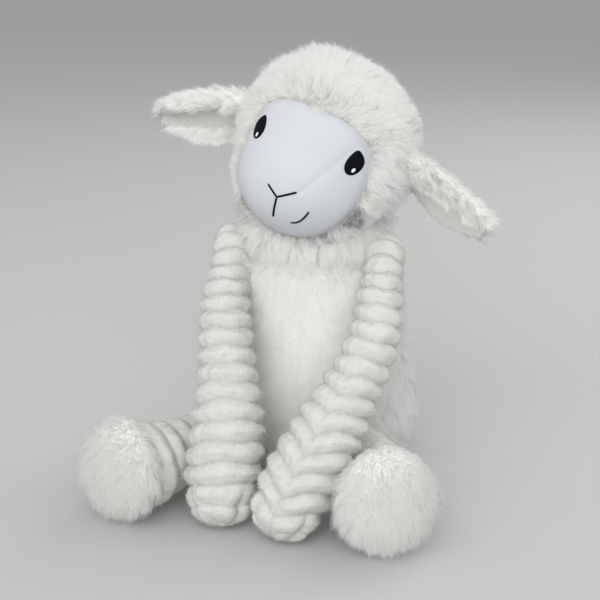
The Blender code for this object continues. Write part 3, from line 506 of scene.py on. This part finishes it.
def make_neck():
    """Fur over the neck's ball, between body and head."""
    rings = ball_rings(NECK_PLACE - UP * NECK_INSET, NECK_HALVES)
    skin = tube('neck_fur_backing', rings, SKIN, 'neck', ['neck_stuffing'], 'fur')
    pile('neck_fur', skin, 'neck', 3.2e6, NECK_FUR, 0.00025, falling, lean=0.8, clump=0.004, gather=0.22,
         seed=41, keep=lambda p, n: np.abs(n[:, 2]) < 0.75, bend=lambda p: p - NECK_FUR_MIDDLE)


def make_tail():
    """Short fur tail at the back of the seat."""
    rings = ball_rings((0.0, BODY_HALF_DEPTH, TAIL_HEIGHT), TAIL_HALVES - TAIL_INSET)
    skin = tube('tail_fur_backing', rings, SKIN, 'seat', ['tail'], 'fur')
    pile('tail_fur', skin, 'seat', 3.0e6, TAIL_FUR, 0.00026, falling, lean=0.85, seed=51)


# Head
FACE_SLIM_RIGHT = 0.938
BROW_POWER_LEFT, BROW_POWER_RIGHT, CHEEK_POWER = 2.6, 3.3, 2.0
RIM_LIFT, HEAD_LIFT, CROWN_DIP, FACE_DIP = 0.0012, 0.0028, 0.0026, 0.0015
RIM_FUR, RIM_FUR_CUT, HEAD_FUR, HEAD_FUR_TO_SIDE = 0.0065, 0.0017, 0.0028, 0.0018
SIDE_HEIGHTS = (-0.025, 0.02)
# place that the head's fur is combed away from, and the point that the light on it is turned about
WHORL = np.array((0.0, -0.045, 0.004))
HEAD_FUR_MIDDLE = np.array((0.0, 0.04, -0.035))


def muzzle_reach(direction):
    """Distance from the head's centre to the muzzle's surface."""
    along = direction / MUZZLE_HALVES
    start = -MUZZLE_CENTRE / MUZZLE_HALVES
    square = (along * along).sum(-1)
    mixed = along @ start
    inside = mixed ** 2 - square * (start @ start - 1)
    return np.where(inside > 0, (np.sqrt(np.maximum(inside, 0)) - mixed) / square, 0.0)


def head_reach(direction):
    """Distance from the head's centre to the backing of its cover."""
    muzzle = muzzle_reach(direction)
    overlap = np.maximum(HEAD_BLEND - np.abs(HEAD_RADIUS - muzzle), 0.0)
    return np.maximum(HEAD_RADIUS, muzzle) + overlap ** 2 / (4 * HEAD_BLEND)


def face_point(across, up, lift):
    """Points on the front of the head, seen along the face, raised by a lift."""
    across, up = np.broadcast_arrays(np.asarray(across, float), np.asarray(up, float))
    near, far = np.zeros(across.shape), np.full(across.shape, 0.1)
    for _ in range(26):
        deep = (near + far) / 2
        point = np.stack((across, -deep, up), -1)
        size = np.linalg.norm(point, axis=-1)
        inside = size < head_reach(point / size[..., None]) + lift
        near, far = np.where(inside, deep, near), np.where(inside, far, deep)
    return np.stack((across, -near, up), -1)


def face_half(across):
    """Half width of the face's outline, a little less on the sheep's right."""
    return FACE_HALF_WIDTH * np.where(across < 0, FACE_SLIM_RIGHT, 1.0)


def brow_power(across, up):
    """Roundness of the face's outline: an ellipse below, with fuller corners above the eyes."""
    return np.where(up > 0, np.where(across < 0, BROW_POWER_RIGHT, BROW_POWER_LEFT), CHEEK_POWER)


def face_share(points):
    """How far out points of the head's frame lie: 1 on the face's outline, more outside it and behind."""
    across = np.abs(points[..., 0] / face_half(points[..., 0]))
    up = (points[..., 2] + FACE_DROP) / FACE_HALF_HEIGHT
    power = brow_power(points[..., 0], up)
    share = (across ** power + np.abs(up) ** power) ** (1 / power)
    return np.where(points[..., 1] < 0, share, 3.0)


def to_left(points):
    """How far points of the head's frame lie to its left, from -1 to 1, and 0 low down."""
    return np.clip(points[..., 0] / HEAD_RADIUS, -1, 1) * step(*SIDE_HEIGHTS, points[..., 2])


def head_skin(rows=90, columns=140):
    """Rings of the head's backing under its fur, lower at the face's rim, with soft lumps."""
    direction = globe(np.linspace(0.01, math.pi - 0.15, rows), columns)
    base = direction * head_reach(direction)[..., None]
    share = face_share(base)
    lift = RIM_LIFT + HEAD_LIFT * (1 - 0.9 * to_left(base)) * step(1.0, 1.30, share)
    lift -= CROWN_DIP * hump(base[..., 0], 0, 0.03) * step(0.025, 0.045, base[..., 2])
    lift = np.where(share < 0.93, -FACE_DIP, lift)
    lumps = (waves(base, 0.028, 61) * 0.0013 + waves(base, 0.012, 62) * 0.0004) * step(1.0, 1.5, share)
    return to_world(direction * (head_reach(direction) + lift + lumps)[..., None])


def tidy_rim(local):
    """Where the rim round the face is combed back and short: above it, and beside it on the sheep's right."""
    return np.maximum(step(-0.020, 0.008, local[:, 2]), step(0.0, -0.020, local[:, 0]))


def head_comb(points, facing):
    """Fur of the head leans over the face's rim, and elsewhere runs away from the face and down."""
    local = to_head(points)
    away = unit(local - WHORL)
    rim = 1 - step(0.98, 1.10, face_share(local))[:, None]
    away = away * (1 - (1.05 - 0.35 * tidy_rim(local)[:, None]) * rim)
    fall = -0.45 * UP * step(0.0, 0.05, np.abs(local[:, :1])) * (1 - rim)
    drift = drifts(points, 0.024, (63, 64, 65)) * 0.45
    return (away + fall + drift) @ HEAD_TURN.T


def head_length(points, facing):
    """Fur is shorter beside the face and on the sheep's left."""
    local = to_head(points)
    share = face_share(local)
    cut = RIM_FUR_CUT * tidy_rim(local) * (1 - step(0.97, 1.12, share))
    return RIM_FUR - cut + (HEAD_FUR - HEAD_FUR_TO_SIDE * to_left(local)) * step(1.0, 1.5, share)


def head_lean(points, facing):
    """Fur stands up in a rim round the face."""
    local = to_head(points)
    return 0.95 - (0.40 - 0.14 * tidy_rim(local)) * (1 - step(1.05, 1.30, face_share(local)))


def make_head():
    """Fur of the head round the face."""
    # the head's backing is the darker painted-shade backing, which reads as shade where it shows through the
    # fur
    skin = tube('head_fur_backing', head_skin(), PAINTED_SHADE_BACKING, 'head', ['head_cover'], 'fur')
    pile('head_fur', skin, 'head', 3.6e6, head_length, 0.00024, head_comb, lean=head_lean, clump=0.0036,
         gather=0.22, seed=71, keep=lambda p, n: face_share(to_head(p)) > 0.945,
         bend=lambda p: p - HEAD_SPOT - HEAD_FUR_MIDDLE, bend_share=0.65)


# Face
FACE_EDGE = 0.965
CREASE, CREASE_SIDES, RIM_DROP = 0.0004, 0.0005, 0.0022
# half widths of the panel between the eyes at heights of the head's frame
BRIDGE_HEIGHTS = (-0.021, -0.0155, 0.006, 0.024, 0.1)
BRIDGE_HALF_WIDTHS = (0.0, 0.0105, 0.0235, 0.032, 0.032)


def seam_distance(across, up):
    """Distance from the seam between the face's panels, across the face."""
    heights = np.linspace(-0.021, 0.03, 52)
    half, halves = (np.interp(at, BRIDGE_HEIGHTS, BRIDGE_HALF_WIDTHS) for at in (up, heights))
    steep = np.interp(up, heights, np.gradient(halves, 0.001))
    return (np.abs(across) - half) / np.sqrt(1 + steep ** 2)


def make_face(rings=60, spokes=200):
    """Smooth face in two panels, with the crease of the seam between them."""
    turn = turns(spokes)
    share = np.linspace(0.02, FACE_EDGE, rings)[:, None]
    power = brow_power(np.cos(turn), np.sin(turn))
    full = (np.abs(np.cos(turn)) ** power + np.abs(np.sin(turn)) ** power) ** (-1 / power)
    across = face_half(np.cos(turn)) * share * full * np.cos(turn)
    up = FACE_HALF_HEIGHT * share * full * np.sin(turn) - FACE_DROP
    seam = seam_distance(across, up)
    crease = -CREASE * hump(seam, 0, 0.0010) - CREASE_SIDES * hump(seam, 0, 0.004)
    # the crease fades above the sheep's left eye, and is faint on its right
    fade = step(-0.0155, -0.012, up) * np.where(across > 0, 1 - 0.7 * step(0.008, 0.02, up), 0.12)
    rim = -RIM_DROP * step(0.88, FACE_EDGE, np.repeat(share, spokes, 1))
    soft = waves(np.stack((across, up, 0 * up), -1), 0.03, 81) * 0.0003
    front = face_point(across, up, FACE_THICKNESS + crease * fade + rim + soft)
    grid = np.concatenate((face_point(across, up, 0.0002), front[::-1]))
    tube('face_panels', to_world(grid), VELBOA, 'head', ['bridge_panel', 'muzzle_panel'], 'smooth_plush')


# Embroidery
# each eye's place across and up the face, half width, half height, and lean in degrees
EYES = {'left': (0.0318, 0.0078, 0.0043, 0.0064, -8.0), 'right': (-0.0304, 0.0080, 0.0046, 0.0062, 4.0)}
EYE_RISE, GLINT_RISE, GLINT_HALVES, GLINT_PLACE = 0.0011, 0.0006, (0.0008, 0.0012), (0.0012, -0.0032)
NOSE = ((-0.0080, -0.0146), (-0.0004, -0.0200), (0.0103, -0.0132))
NOSE_STEM = ((-0.0004, -0.0203), (-0.0011, -0.0340))
SMILE = ((0.0098, -0.0338), (0.0158, -0.0334), (0.0193, -0.0231))
NOSE_THREAD, SMILE_THREAD, THREAD_FLATNESS = 0.0013, 0.0011, 0.76
# share of a patch's outline, and of its rise, from its middle to its edge
DOME = ((0.05, 1.0), (0.35, 1.0), (0.65, 0.95), (0.86, 0.75), (0.97, 0.35), (1.0, 0.0))


def patch(name, centre, outline, lift, rise, material, slot, node):
    """Domed patch of stitches on the face."""
    rows = [(share, lift + rise * height) for share, height in DOME]
    rows += [(0.9, lift - 0.001), (0.1, lift - 0.001)]
    rings = [face_point(*(centre + outline * share).T, high) for share, high in rows]
    tube(name, to_world(np.array(rings)), material, 'head', [node], slot)


def eye_outline(half_width, half_height, lean, points=48):
    """Egg with a soft point at its top, leaning by an angle."""
    turn = turns(points)
    top = np.maximum(np.sin(turn), 0.0)
    across = half_width * np.cos(turn) * (1 - 0.10 * top)
    up = half_height * np.sin(turn) * (1 + 0.17 * top ** 6)
    cos, sin = math.cos(math.radians(lean)), math.sin(math.radians(lean))
    return np.stack((across * cos + up * sin, up * cos - across * sin), -1)


def stitched_line(name, route, width, node):
    """Raised line of satin stitches laid on the face along a route."""
    route = np.array(route)
    steps = np.linspace(0, 1, 60)
    lengths = lengths_along(route)
    across, up = (np.interp(steps * lengths[-1], lengths, route[:, k]) for k in range(2))
    points = face_point(across, up, FACE_THICKNESS)
    along = unit(np.gradient(points, axis=0))
    out = unit(points - MUZZLE_CENTRE)
    side = unit(np.cross(along, out))
    taper = np.sqrt(np.clip(np.minimum(steps, 1 - steps) / 0.04, 0.15, 1.0))
    turn = turns(14)[None, :, None]
    twill = 1 + 0.06 * np.sin(steps * lengths[-1] / 0.0005 * math.pi)
    ring = (side[:, None] * np.cos(turn) + out[:, None] * np.sin(turn) * THREAD_FLATNESS) * (width / 2)
    grid = points[:, None] + ring * (taper * twill)[:, None, None]
    tube(name, to_world(grid), THREAD, 'head', [node], 'dark_thread')


def make_embroidery():
    """Eyes, nose and smile."""
    turn = turns(20)
    dot = np.stack((GLINT_HALVES[0] * np.cos(turn), GLINT_HALVES[1] * np.sin(turn)), -1)
    for side, (out, rise, half_width, half_height, lean) in EYES.items():
        patch('eye_stitches_' + side, (out, rise), eye_outline(half_width, half_height, lean),
              FACE_THICKNESS - 0.0002, EYE_RISE, THREAD, 'dark_thread', 'eye_' + side)
        patch('eye_glint_stitches_' + side, (out + GLINT_PLACE[0], rise + GLINT_PLACE[1]), dot,
              FACE_THICKNESS + 0.0009, GLINT_RISE, GLINT, 'white_thread', 'eye_glint_' + side)
    stitched_line('nose_stitches', NOSE, NOSE_THREAD, 'nose_stitch')
    stitched_line('nose_stem_stitches', NOSE_STEM, NOSE_THREAD, 'nose_stem_stitch')
    stitched_line('smile_stitches', BentLine(*SMILE).at(np.linspace(0, 1, 12)), SMILE_THREAD, 'mouth_stitch')


# Ears
EAR_RISE, EAR_FACING = math.radians(3.0), math.radians(30.0)
EAR_FUR_LENGTH, EAR_NAP = 0.0056, 0.0018
# droop in degrees, slim as start, end and depth, back as width and end, the last three as places across
EARS = {
    'left': dict(droop=10.0, sag=0.0060, spread=1.20, slim=(0.10, 0.50, 0.30), back=(0.87, 0.905), end=0.89,
                 roll=0.0018, tuft=0.0026, back_bare=0.95, lining_bare=0.30, fringe=1.05),
    'right': dict(droop=17.0, sag=0.0085, spread=1.25, slim=(0.85, 0.45, 0.22), back=(0.93, 1.0), end=0.985,
                  roll=0.0045, tuft=0.0040, back_bare=0.72, lining_bare=-0.05, fringe=0.80)}


class EarFrame:
    """Hinge and directions of an ear, and the leaf's surfaces, in the head's frame."""

    def __init__(self, side):
        sign = SIDES[side]
        self.shape = EARS[side]
        droop = math.radians(self.shape['droop'])
        base = np.array((sign * math.cos(EAR_RISE), 0.0, math.sin(EAR_RISE)))
        self.hinge = base * (head_reach(base) + HEAD_COVER + EAR_STANDOFF)
        self.along = np.array((sign * math.cos(droop), 0.0, -math.sin(droop)))
        front = (0.0, -math.cos(EAR_FACING), -math.sin(EAR_FACING))
        self.across = unit(np.cross(self.along, front)) * sign
        self.facing = unit(np.cross(self.along, self.across)) * -sign

    def point(self, share, across_share, level):
        """Points of the ear's leaf at shares of its length and width, at a level through it."""
        slim_from, slim_to, slim_depth = self.shape['slim']
        taper = 1 + (self.shape['spread'] - 1) * step(1.0, 0.45, share)
        slim = 0.96 - slim_depth * step(slim_from, slim_to, share)
        across_share = across_share * np.where(across_share > 0, taper, slim)
        low = np.maximum(share, 0.0)
        width = EAR_HALF_WIDTH * smooth_value(EAR_LENGTH_SHARES, EAR_WIDTH_SHARES, np.minimum(low, 1.0))
        width = width * (1 + 0.6 * np.minimum(share, 0.0))
        cup = EAR_CUP * np.minimum(low * 3, 1) * across_share ** 2
        thin = 1 - EAR_EDGE_SHARE * across_share ** 4
        shares = [(self.along, EAR_LENGTH * share), (self.across, width * across_share),
                  (self.facing, level * thin + cup), (-UP * self.shape['sag'], low ** 2)]
        return self.hinge + sum(way * amount[..., None] for way, amount in shares)

    def leaf(self, low, high, width_share, start, end, power=0.5, roll=0.0, rows=44, columns=60):
        """Rings of a leaf between two levels, rounded at its edges, in the world."""
        share = start + (end - start) * (1 - (1 - np.linspace(0, 1, rows)) ** 1.5)
        share = np.repeat(share[:, None], columns, 1)
        across, lift = (np.ones(share.shape) * way(turns(columns)) for way in (np.cos, np.sin))
        across = across * width_share
        level = (low + high) / 2 + (high - low) / 2 * np.sign(lift) * np.abs(lift) ** power
        level = level + roll * hump(across, -0.40, 0.42) * np.maximum(lift, 0) * step(1.0, 0.75, share)
        return to_world(self.point(share, across, level))


def make_ear(side):
    """Ear with a fur back, a smooth lining, fur over the lining's upper side and a fringe below."""
    ear, shape, body = EarFrame(side), EARS[side], 'ear_' + side
    half = (EAR_BACK + EAR_PLAY + EAR_LINING) / 2
    width, end = shape['back']
    rings = ear.leaf(-half + 0.0025, half - 0.0035, width, -0.22, end)
    back = tube('ear_fur_backing_' + side, rings, PAINTED_SHADE_BACKING, body, ['ear_back_' + side], 'fur')
    rings = ear.leaf(half - 0.0060, half - 0.0015, 0.86, -0.20, shape['end'], power=1.0, roll=shape['roll'])
    inner = tube('ear_lining_plush_painted_shade_' + side, rings, SHADED_LINING, body, ['ear_lining_' + side], 'smooth_plush')
    front, along, across = (HEAD_TURN @ way for way in (ear.facing, ear.along, ear.across))
    hinge = to_world(ear.hinge)

    def place(points):
        return (points - hinge) @ across / EAR_HALF_WIDTH

    def bend_front(points):
        low = step(0.1, 0.8, place(points))[:, None]
        return front * (0.6 + 0.4 * low) + UP * (0.9 - 1.2 * low)

    def bend_back(points):
        return front * 0.3 + UP * (1 - 0.8 * step(0.1, 0.8, place(points))[:, None])

    def comb(points, facing):
        return along + across * place(points)[:, None] * 0.80

    def length(points, facing):
        return EAR_FUR_LENGTH + shape['tuft'] * step(0.75, 1.0, (points - hinge) @ along / EAR_LENGTH)

    def keep_back(points, facing):
        bare, low = shape['back_bare'], place(points)
        return ((facing @ front < 0.3) & (low < bare)) | ((low > bare) & (bare < 0.9)) | (low < -0.72)

    def keep_front(points, facing):
        edge = place(points) + 0.15 * waves(points, 0.012, 96)
        return (facing @ front > -0.2) & ((edge < shape['lining_bare']) | (edge > shape['fringe']))

    for name, source, lean, seed, keep, bend in (('ear_fur_', back, 0.95, 91, keep_back, bend_back),
                                                 ('ear_front_fur_', inner, 0.90, 92, keep_front, bend_front)):
        pile(name + side, source, body, 4.4e6, length, 0.00024, comb, lean=lean, clump=0.0036, gather=0.2,
             seed=seed, keep=keep, material=EAR_FUR, bend=bend)
    pile('ear_nap_' + side, inner, body, 3.0e6, EAR_NAP, 0.00014, comb, lean=0.8, clump=None, seed=93,
         keep=lambda p, n: n @ front > 0.0, material=NAP, segments=1)


# Limbs
CREASE_DEPTH, CREASE_WIDTH = 0.0008, 0.10


class BentLine:
    """Curve that leaves its start towards a bend and reaches its end, read by share of its length."""

    def __init__(self, start, bend, end):
        self.start, self.bend, self.end = (np.array(p, float) for p in (start, bend, end))
        self.steps = np.linspace(0, 1, 400)
        self.lengths = lengths_along(self.at(self.steps))
        self.length = self.lengths[-1]

    def at(self, step):
        step = np.asarray(step, float)[..., None]
        return self.start * (1 - step) ** 2 + self.bend * 2 * step * (1 - step) + self.end * step ** 2

    def point(self, share):
        return self.at(np.interp(share, self.lengths / self.length, self.steps))

    def direction(self, share):
        step = np.interp(share, self.lengths / self.length, self.steps)[..., None]
        return unit((self.bend - self.start) * (1 - step) + (self.end - self.bend) * step)


def limb_grid(line, reference, radius_at, end_depth, root_radius, relief, rows, columns,
              offset=lambda share: 0.0):
    """Rings of a limb from its rounded root to the middle of its end, with a relief in its surface."""
    total = line.length + end_depth
    turn = turns(columns)
    grid = []
    for at in np.linspace(-root_radius * 0.9, total, rows):
        share = min(max(at / line.length, 0.0), 1.0)
        centre, direction = line.point(share), line.direction(np.array([share]))[0]
        radius = radius_at(share)
        if at < 0:
            centre = centre + direction * at
            radius *= math.sqrt(1 - (at / root_radius) ** 2)
        if at > line.length:
            beyond = min((at - line.length) / end_depth, 0.999)
            centre = centre + direction * (at - line.length)
            radius *= math.sqrt(1 - beyond ** 2)
        centre = centre + offset(at / total)
        ring = circle(direction, reference, columns)
        surface = centre + ring * radius
        uneven = waves(surface, 0.009, 140) * 0.00045 + waves(surface, 0.004, 141) * 0.00018
        out = np.maximum(radius - relief(at, turn, radius) + uneven, 0.0004)
        grid.append(centre + ring * out[:, None])
    return np.array(grid)


def rib_relief(share_of_rib, depth):
    """Depth below the crest for a place within a rib, with a narrow crease between ribs."""
    edge = 1 - np.abs(2 * (share_of_rib % 1.0) - 1)
    return depth * (1 - edge) ** 1.5 + CREASE_DEPTH * hump(edge, 0, CREASE_WIDTH)


# Arms
ARM_RIBS, ARM_RIB_SHARE, ARM_CREASE = 14.6, 1.45, 0.0010
LOBE_DEPTH, SHOULDER_PUFF, ARM_MIDDLE, ARM_MIDDLE_WIDTH = 0.0044, 0.0095, 0.48, 0.18
# seam is in degrees, waist is how slim the middle is, and bow is a height, place and width
ARMS = {'left': dict(seam=92.0, slant=0.34, phase=0.2, waist=0.09, bow=(0.0068, 0.39, 0.20)),
        'right': dict(seam=150.0, slant=0.12, phase=0.0, waist=0.04, bow=(0.0024, 0.66, 0.14))}


def arm_line(side):
    """Middle of an arm, from its shoulder to where its end begins to round."""
    sign = SIDES[side]
    out, forward, height = ELBOWS[side]
    elbow = np.array((sign * out, -forward, height))
    out, forward = HANDS[side]
    hand = np.array((sign * out, -forward, ARM_RADIUS))
    fall = unit(hand - elbow)[2]
    hand[2] = math.hypot(ARM_END_DEPTH * fall, ARM_END_RADIUS * math.sqrt(1 - fall ** 2)) - 0.0005
    return BentLine((sign * SHOULDER[0], -SHOULDER[1], SHOULDER[2]), elbow, hand)


def arm_offset(side):
    """Slight bow of an arm, as a function of the share of its length."""
    height, place, width = ARMS[side]['bow']

    def offset(share):
        back = 0.0026 * hump(share, 0.26, 0.14) if side == 'right' else 0.0050 * step(0.62, 0.95, share)
        return np.array((height * hump(share, place, width) - back, 0.0, 0.0))

    return offset


def make_room(grid):
    """Dent the right arm's rings where the left arm rests against them."""
    line, offset = arm_line('left'), arm_offset('left')
    shares = np.linspace(0, 1, 200)
    total = line.length + ARM_END_DEPTH
    middle = line.point(shares) + np.array([offset(share * line.length / total) for share in shares])
    radii = smooth_value(ARM_LENGTH_SHARES, ARM_RADIUS_SHARES, shares) * ARM_RADIUS
    for part in np.array_split(grid.reshape(-1, 3), 24):
        away = part[:, None] - middle
        distance = np.linalg.norm(away, axis=-1)
        inside = (radii + 0.0002) - distance
        worst = np.arange(len(part)), inside.argmax(1)
        part += away[worst] / distance[worst][:, None] * np.maximum(inside[worst], 0.0)[:, None]


def make_arm(side):
    """Ribbed arm, gathered at its end, with a seam down it and ribs that slant beside the seam."""
    line, shape = arm_line(side), ARMS[side]
    total = line.length + ARM_END_DEPTH
    pitch = line.length / ARM_RIBS

    def relief(at, turn, radius):
        down = step(0.40, 0.75, at / total)
        away = (turn - math.radians(shape['seam']) + math.pi) % (2 * math.pi) - math.pi
        shift = shape['slant'] * down * ARM_RADIUS * 1.3 * np.sqrt(1 - np.exp(-away ** 2 / 0.7))
        upright = 0.45 * (1 - step(0.15, 0.62, at / total))
        wobble = 0.0007 * np.sin(3 * turn + at / pitch * 2.3) - upright * radius * np.sin(turn)
        depth = ARM_RIB_DEPTH * ARM_RIB_SHARE * step(-0.006, 0.006, at)
        fall = rib_relief((at + shift + wobble) / pitch + shape['phase'], depth)
        # the end is gathered in lobes, and its ribs fade
        beyond = min(max((at - line.length + 0.009) / (ARM_END_DEPTH + 0.009), 0.0), 1.0)
        gathered = 4 * turn + 0.6 * np.sin(2 * turn + 1.0) + 0.4
        fall = fall * (1 - 0.8 * beyond) + 0.04 * radius * step(-0.011, -0.004, at - line.length)
        lobes = LOBE_DEPTH * beyond ** 0.6 * (1 - np.abs(np.sin(gathered)) ** 0.8)
        lobes = lobes * (1 + 0.35 * np.sin(3 * turn))
        crease = ARM_CREASE * hump(away * ARM_RADIUS, 0, 0.0013) * down
        puff = SHOULDER_PUFF * hump(at, 0.002, 0.020) * np.maximum(np.sin(turn), 0.0) ** 1.5
        return fall + lobes + crease - puff

    def radius_at(share):
        slim = 1 - shape['waist'] * hump(share, ARM_MIDDLE, ARM_MIDDLE_WIDTH)
        return ARM_RADIUS * smooth_value(ARM_LENGTH_SHARES, ARM_RADIUS_SHARES, share) * slim

    grid = limb_grid(line, np.array((1.0, 0.0, 0.0)), radius_at, ARM_END_DEPTH, ARM_ROOT_RADIUS, relief,
                     420, 220, arm_offset(side))
    if side == 'right':
        make_room(grid)
    grid[..., 2] = np.maximum(grid[..., 2], FLOOR_GAP)
    piece = tube('arm_ribs_' + side, grid, RIB, 'arm_' + side, ['arm_cover_' + side, 'arm_stuffing_' + side],
                 'ribbed_plush')
    nap('arm_nap_' + side, piece, 'arm_' + side, 121)


# Legs
LEG_RIBS, LEG_RIB_SHARE, LEG_FLARE = 5.6, 1.3, 0.22
SOLE_INSET, SOLE_TOP_STRETCH, SOLE_FUR_LENGTH, SOLE_TOP_CUT = 0.0035, 0.16, 0.0078, 0.0048
# how far each sole sits off its leg's middle, and which way its fur lies
SOLE_SHIFTS = {'left': (-0.0040, 0.0, 0.0015), 'right': (0.0, 0.0, 0.0015)}
SOLE_LAYS = {'left': (0.15, 0.0, -0.8), 'right': (-0.7, 0.0, -0.8)}


def make_leg(side):
    """Short ribbed leg that ends in a round sole of fur."""
    sign = SIDES[side]
    hip = np.array((sign * HIP[0], -HIP[1], HIP[2]))
    rise = (SOLE_RADIUS - 0.0005 - HIP[2]) / SOLE_REACH
    direction = unit((sign * math.sin(LEG_OUT), -math.cos(LEG_OUT), rise))
    end_depth = LEG_RADIUS * LEG_END_SHARE
    end = hip + direction * (SOLE_REACH - SOLE_BACK - 0.0003 - end_depth)
    line = BentLine(hip, (hip + end) / 2, end)
    pitch = line.length / LEG_RIBS

    def radius_at(share):
        return LEG_RADIUS * smooth_value(LEG_LENGTH_SHARES, LEG_RADIUS_SHARES, share) \
            * (1 + LEG_FLARE * step(0.60, 0.90, share))

    def relief(at, turn, radius):
        return rib_relief((at - line.length) / pitch + 0.15 * np.sin(2 * turn), LEG_RIB_DEPTH * LEG_RIB_SHARE)

    grid = limb_grid(line, UP, radius_at, end_depth, LEG_ROOT_RADIUS, relief, 180, 160)
    grid[..., 2] = np.maximum(grid[..., 2], FLOOR_GAP)
    leg = tube('leg_ribs_' + side, grid, RIB, 'leg_' + side, ['leg_cover_' + side], 'ribbed_plush')
    nap('leg_nap_' + side, leg, 'leg_' + side, 131)
    make_sole(side, hip + direction * SOLE_REACH + np.array(SOLE_SHIFTS[side]), direction)


def make_sole(side, centre, direction, rows=30, columns=60):
    """Round fur sole on the end of a leg."""
    rise = np.linspace(math.asin(-SOLE_BACK / SOLE_HALF_DEPTH), math.pi / 2 * 0.985, rows)
    grid = centre + direction * ((SOLE_HALF_DEPTH - SOLE_INSET) * np.sin(rise))[:, None, None] \
        + circle(direction, UP, columns) * ((SOLE_RADIUS - SOLE_INSET) * np.cos(rise))[:, None, None]
    grid[..., 2] += SOLE_TOP_STRETCH * np.maximum(grid[..., 2] - centre[2], 0.0)
    grid[..., 2] = np.maximum(grid[..., 2], 0.0006)
    skin = tube('sole_fur_backing_' + side, grid, SKIN, 'leg_' + side, ['foot_sole_' + side], 'fur')
    whorl = centre + UP * SOLE_RADIUS * 1.30 + direction * SOLE_HALF_DEPTH * 0.2

    def comb(points, facing):
        drift = drifts(points, 0.03, (101, 102, 103)) * 0.2
        return unit(points - whorl) * 0.7 + np.array(SOLE_LAYS[side]) * 0.8 + drift

    def length(points, facing):
        return SOLE_FUR_LENGTH - SOLE_TOP_CUT * step(0.32, 0.92, (points[:, 2] - centre[2]) / SOLE_RADIUS)

    pile('sole_fur_' + side, skin, 'leg_' + side, 4.2e6, length, 0.00021, comb, lean=0.95, clump=0.003,
         gather=0.14, mess=0.22, seed=111, keep=lambda p, n: (n[:, 2] > -0.9) & (p[:, 2] > 0.001),
         material=SHADED_SOLE_FUR, bend=lambda p: direction + 0 * p, bend_share=0.4)


# Stage
FLOOR_HALF = 30.0
# name, place, size, power and colour of each light, and the height that all of them face
LIGHTS = (('key', (-0.30, -1.45, 1.25), 1.6, 12.5, (1.0, 0.995, 0.985)),
          ('fill', (1.00, -3.40, 1.60), 3.0, 64.0, (0.985, 0.992, 1.0)),
          ('rim', (0.6, 1.0, 1.3), 1.2, 10.0, (1.0, 1.0, 1.0)))
LIT_HEIGHT = 0.12
VIEW_TARGET, VIEW_DISTANCE = (-0.00863, -0.00256, 0.1063), 0.85
VIEW_AZIMUTH, VIEW_ELEVATION = math.radians(16.5), math.radians(16.0)
FOCAL_PIXELS, PHOTO_PIXELS, SENSOR = 1326.0, 600.0, 36.0


def face_along(piece, direction):
    """Turn a lamp or camera to look along a direction."""
    piece.rotation_euler = direction.to_track_quat('-Z', 'Y').to_euler()


def make_stage():
    """Pale floor, soft lights and the camera."""
    scene = bpy.context.scene
    points = np.array(((-1, -1, 0), (1, -1, 0), (1, 1, 0), (-1, 1, 0))) * FLOOR_HALF
    paint = plain_material('floor_paint', (0.52, 0.515, 0.507), roughness=0.95)
    make_mesh('floor', points, [0, 1, 2, 3], [4], paint)
    world = bpy.data.worlds.new('studio')
    world.use_nodes = True
    sky = world.node_tree.nodes['Background']
    sky.inputs['Color'].default_value = (0.98, 0.99, 1.0, 1.0)
    sky.inputs['Strength'].default_value = 0.60
    scene.world = world
    for name, place, size, power, colour in LIGHTS:
        light = bpy.data.lights.new(name, 'AREA')
        light.size, light.energy, light.color = size, power, colour
        lamp = bpy.data.objects.new(name, light)
        scene.collection.objects.link(lamp)
        lamp.location = place
        face_along(lamp, Vector((0, 0, LIT_HEIGHT)) - Vector(place))
    flat = math.cos(VIEW_ELEVATION)
    toward = Vector((math.sin(VIEW_AZIMUTH) * flat, -math.cos(VIEW_AZIMUTH) * flat, math.sin(VIEW_ELEVATION)))
    view = bpy.data.cameras.new('camera')
    view.lens = FOCAL_PIXELS / PHOTO_PIXELS * SENSOR
    view.sensor_width = SENSOR
    view.clip_start, view.clip_end = 0.05, 20.0
    camera = bpy.data.objects.new('camera', view)
    scene.collection.objects.link(camera)
    camera.location = Vector(VIEW_TARGET) + toward * VIEW_DISTANCE
    face_along(camera, -toward)
    scene.camera = camera
    scene.view_settings.view_transform = 'Standard'


make_stage()
make_body()
make_neck()
make_tail()
make_head()
make_face()
make_embroidery()
for make in (make_ear, make_arm, make_leg):
    for side in SIDES:
        make(side)

filling = plain_material('filling', (0.80, 0.80, 0.80))
for name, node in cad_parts.items():
    if 'stuffing' in name or 'pellet' in name:
        node.data.materials.clear()
        node.data.materials.append(filling)
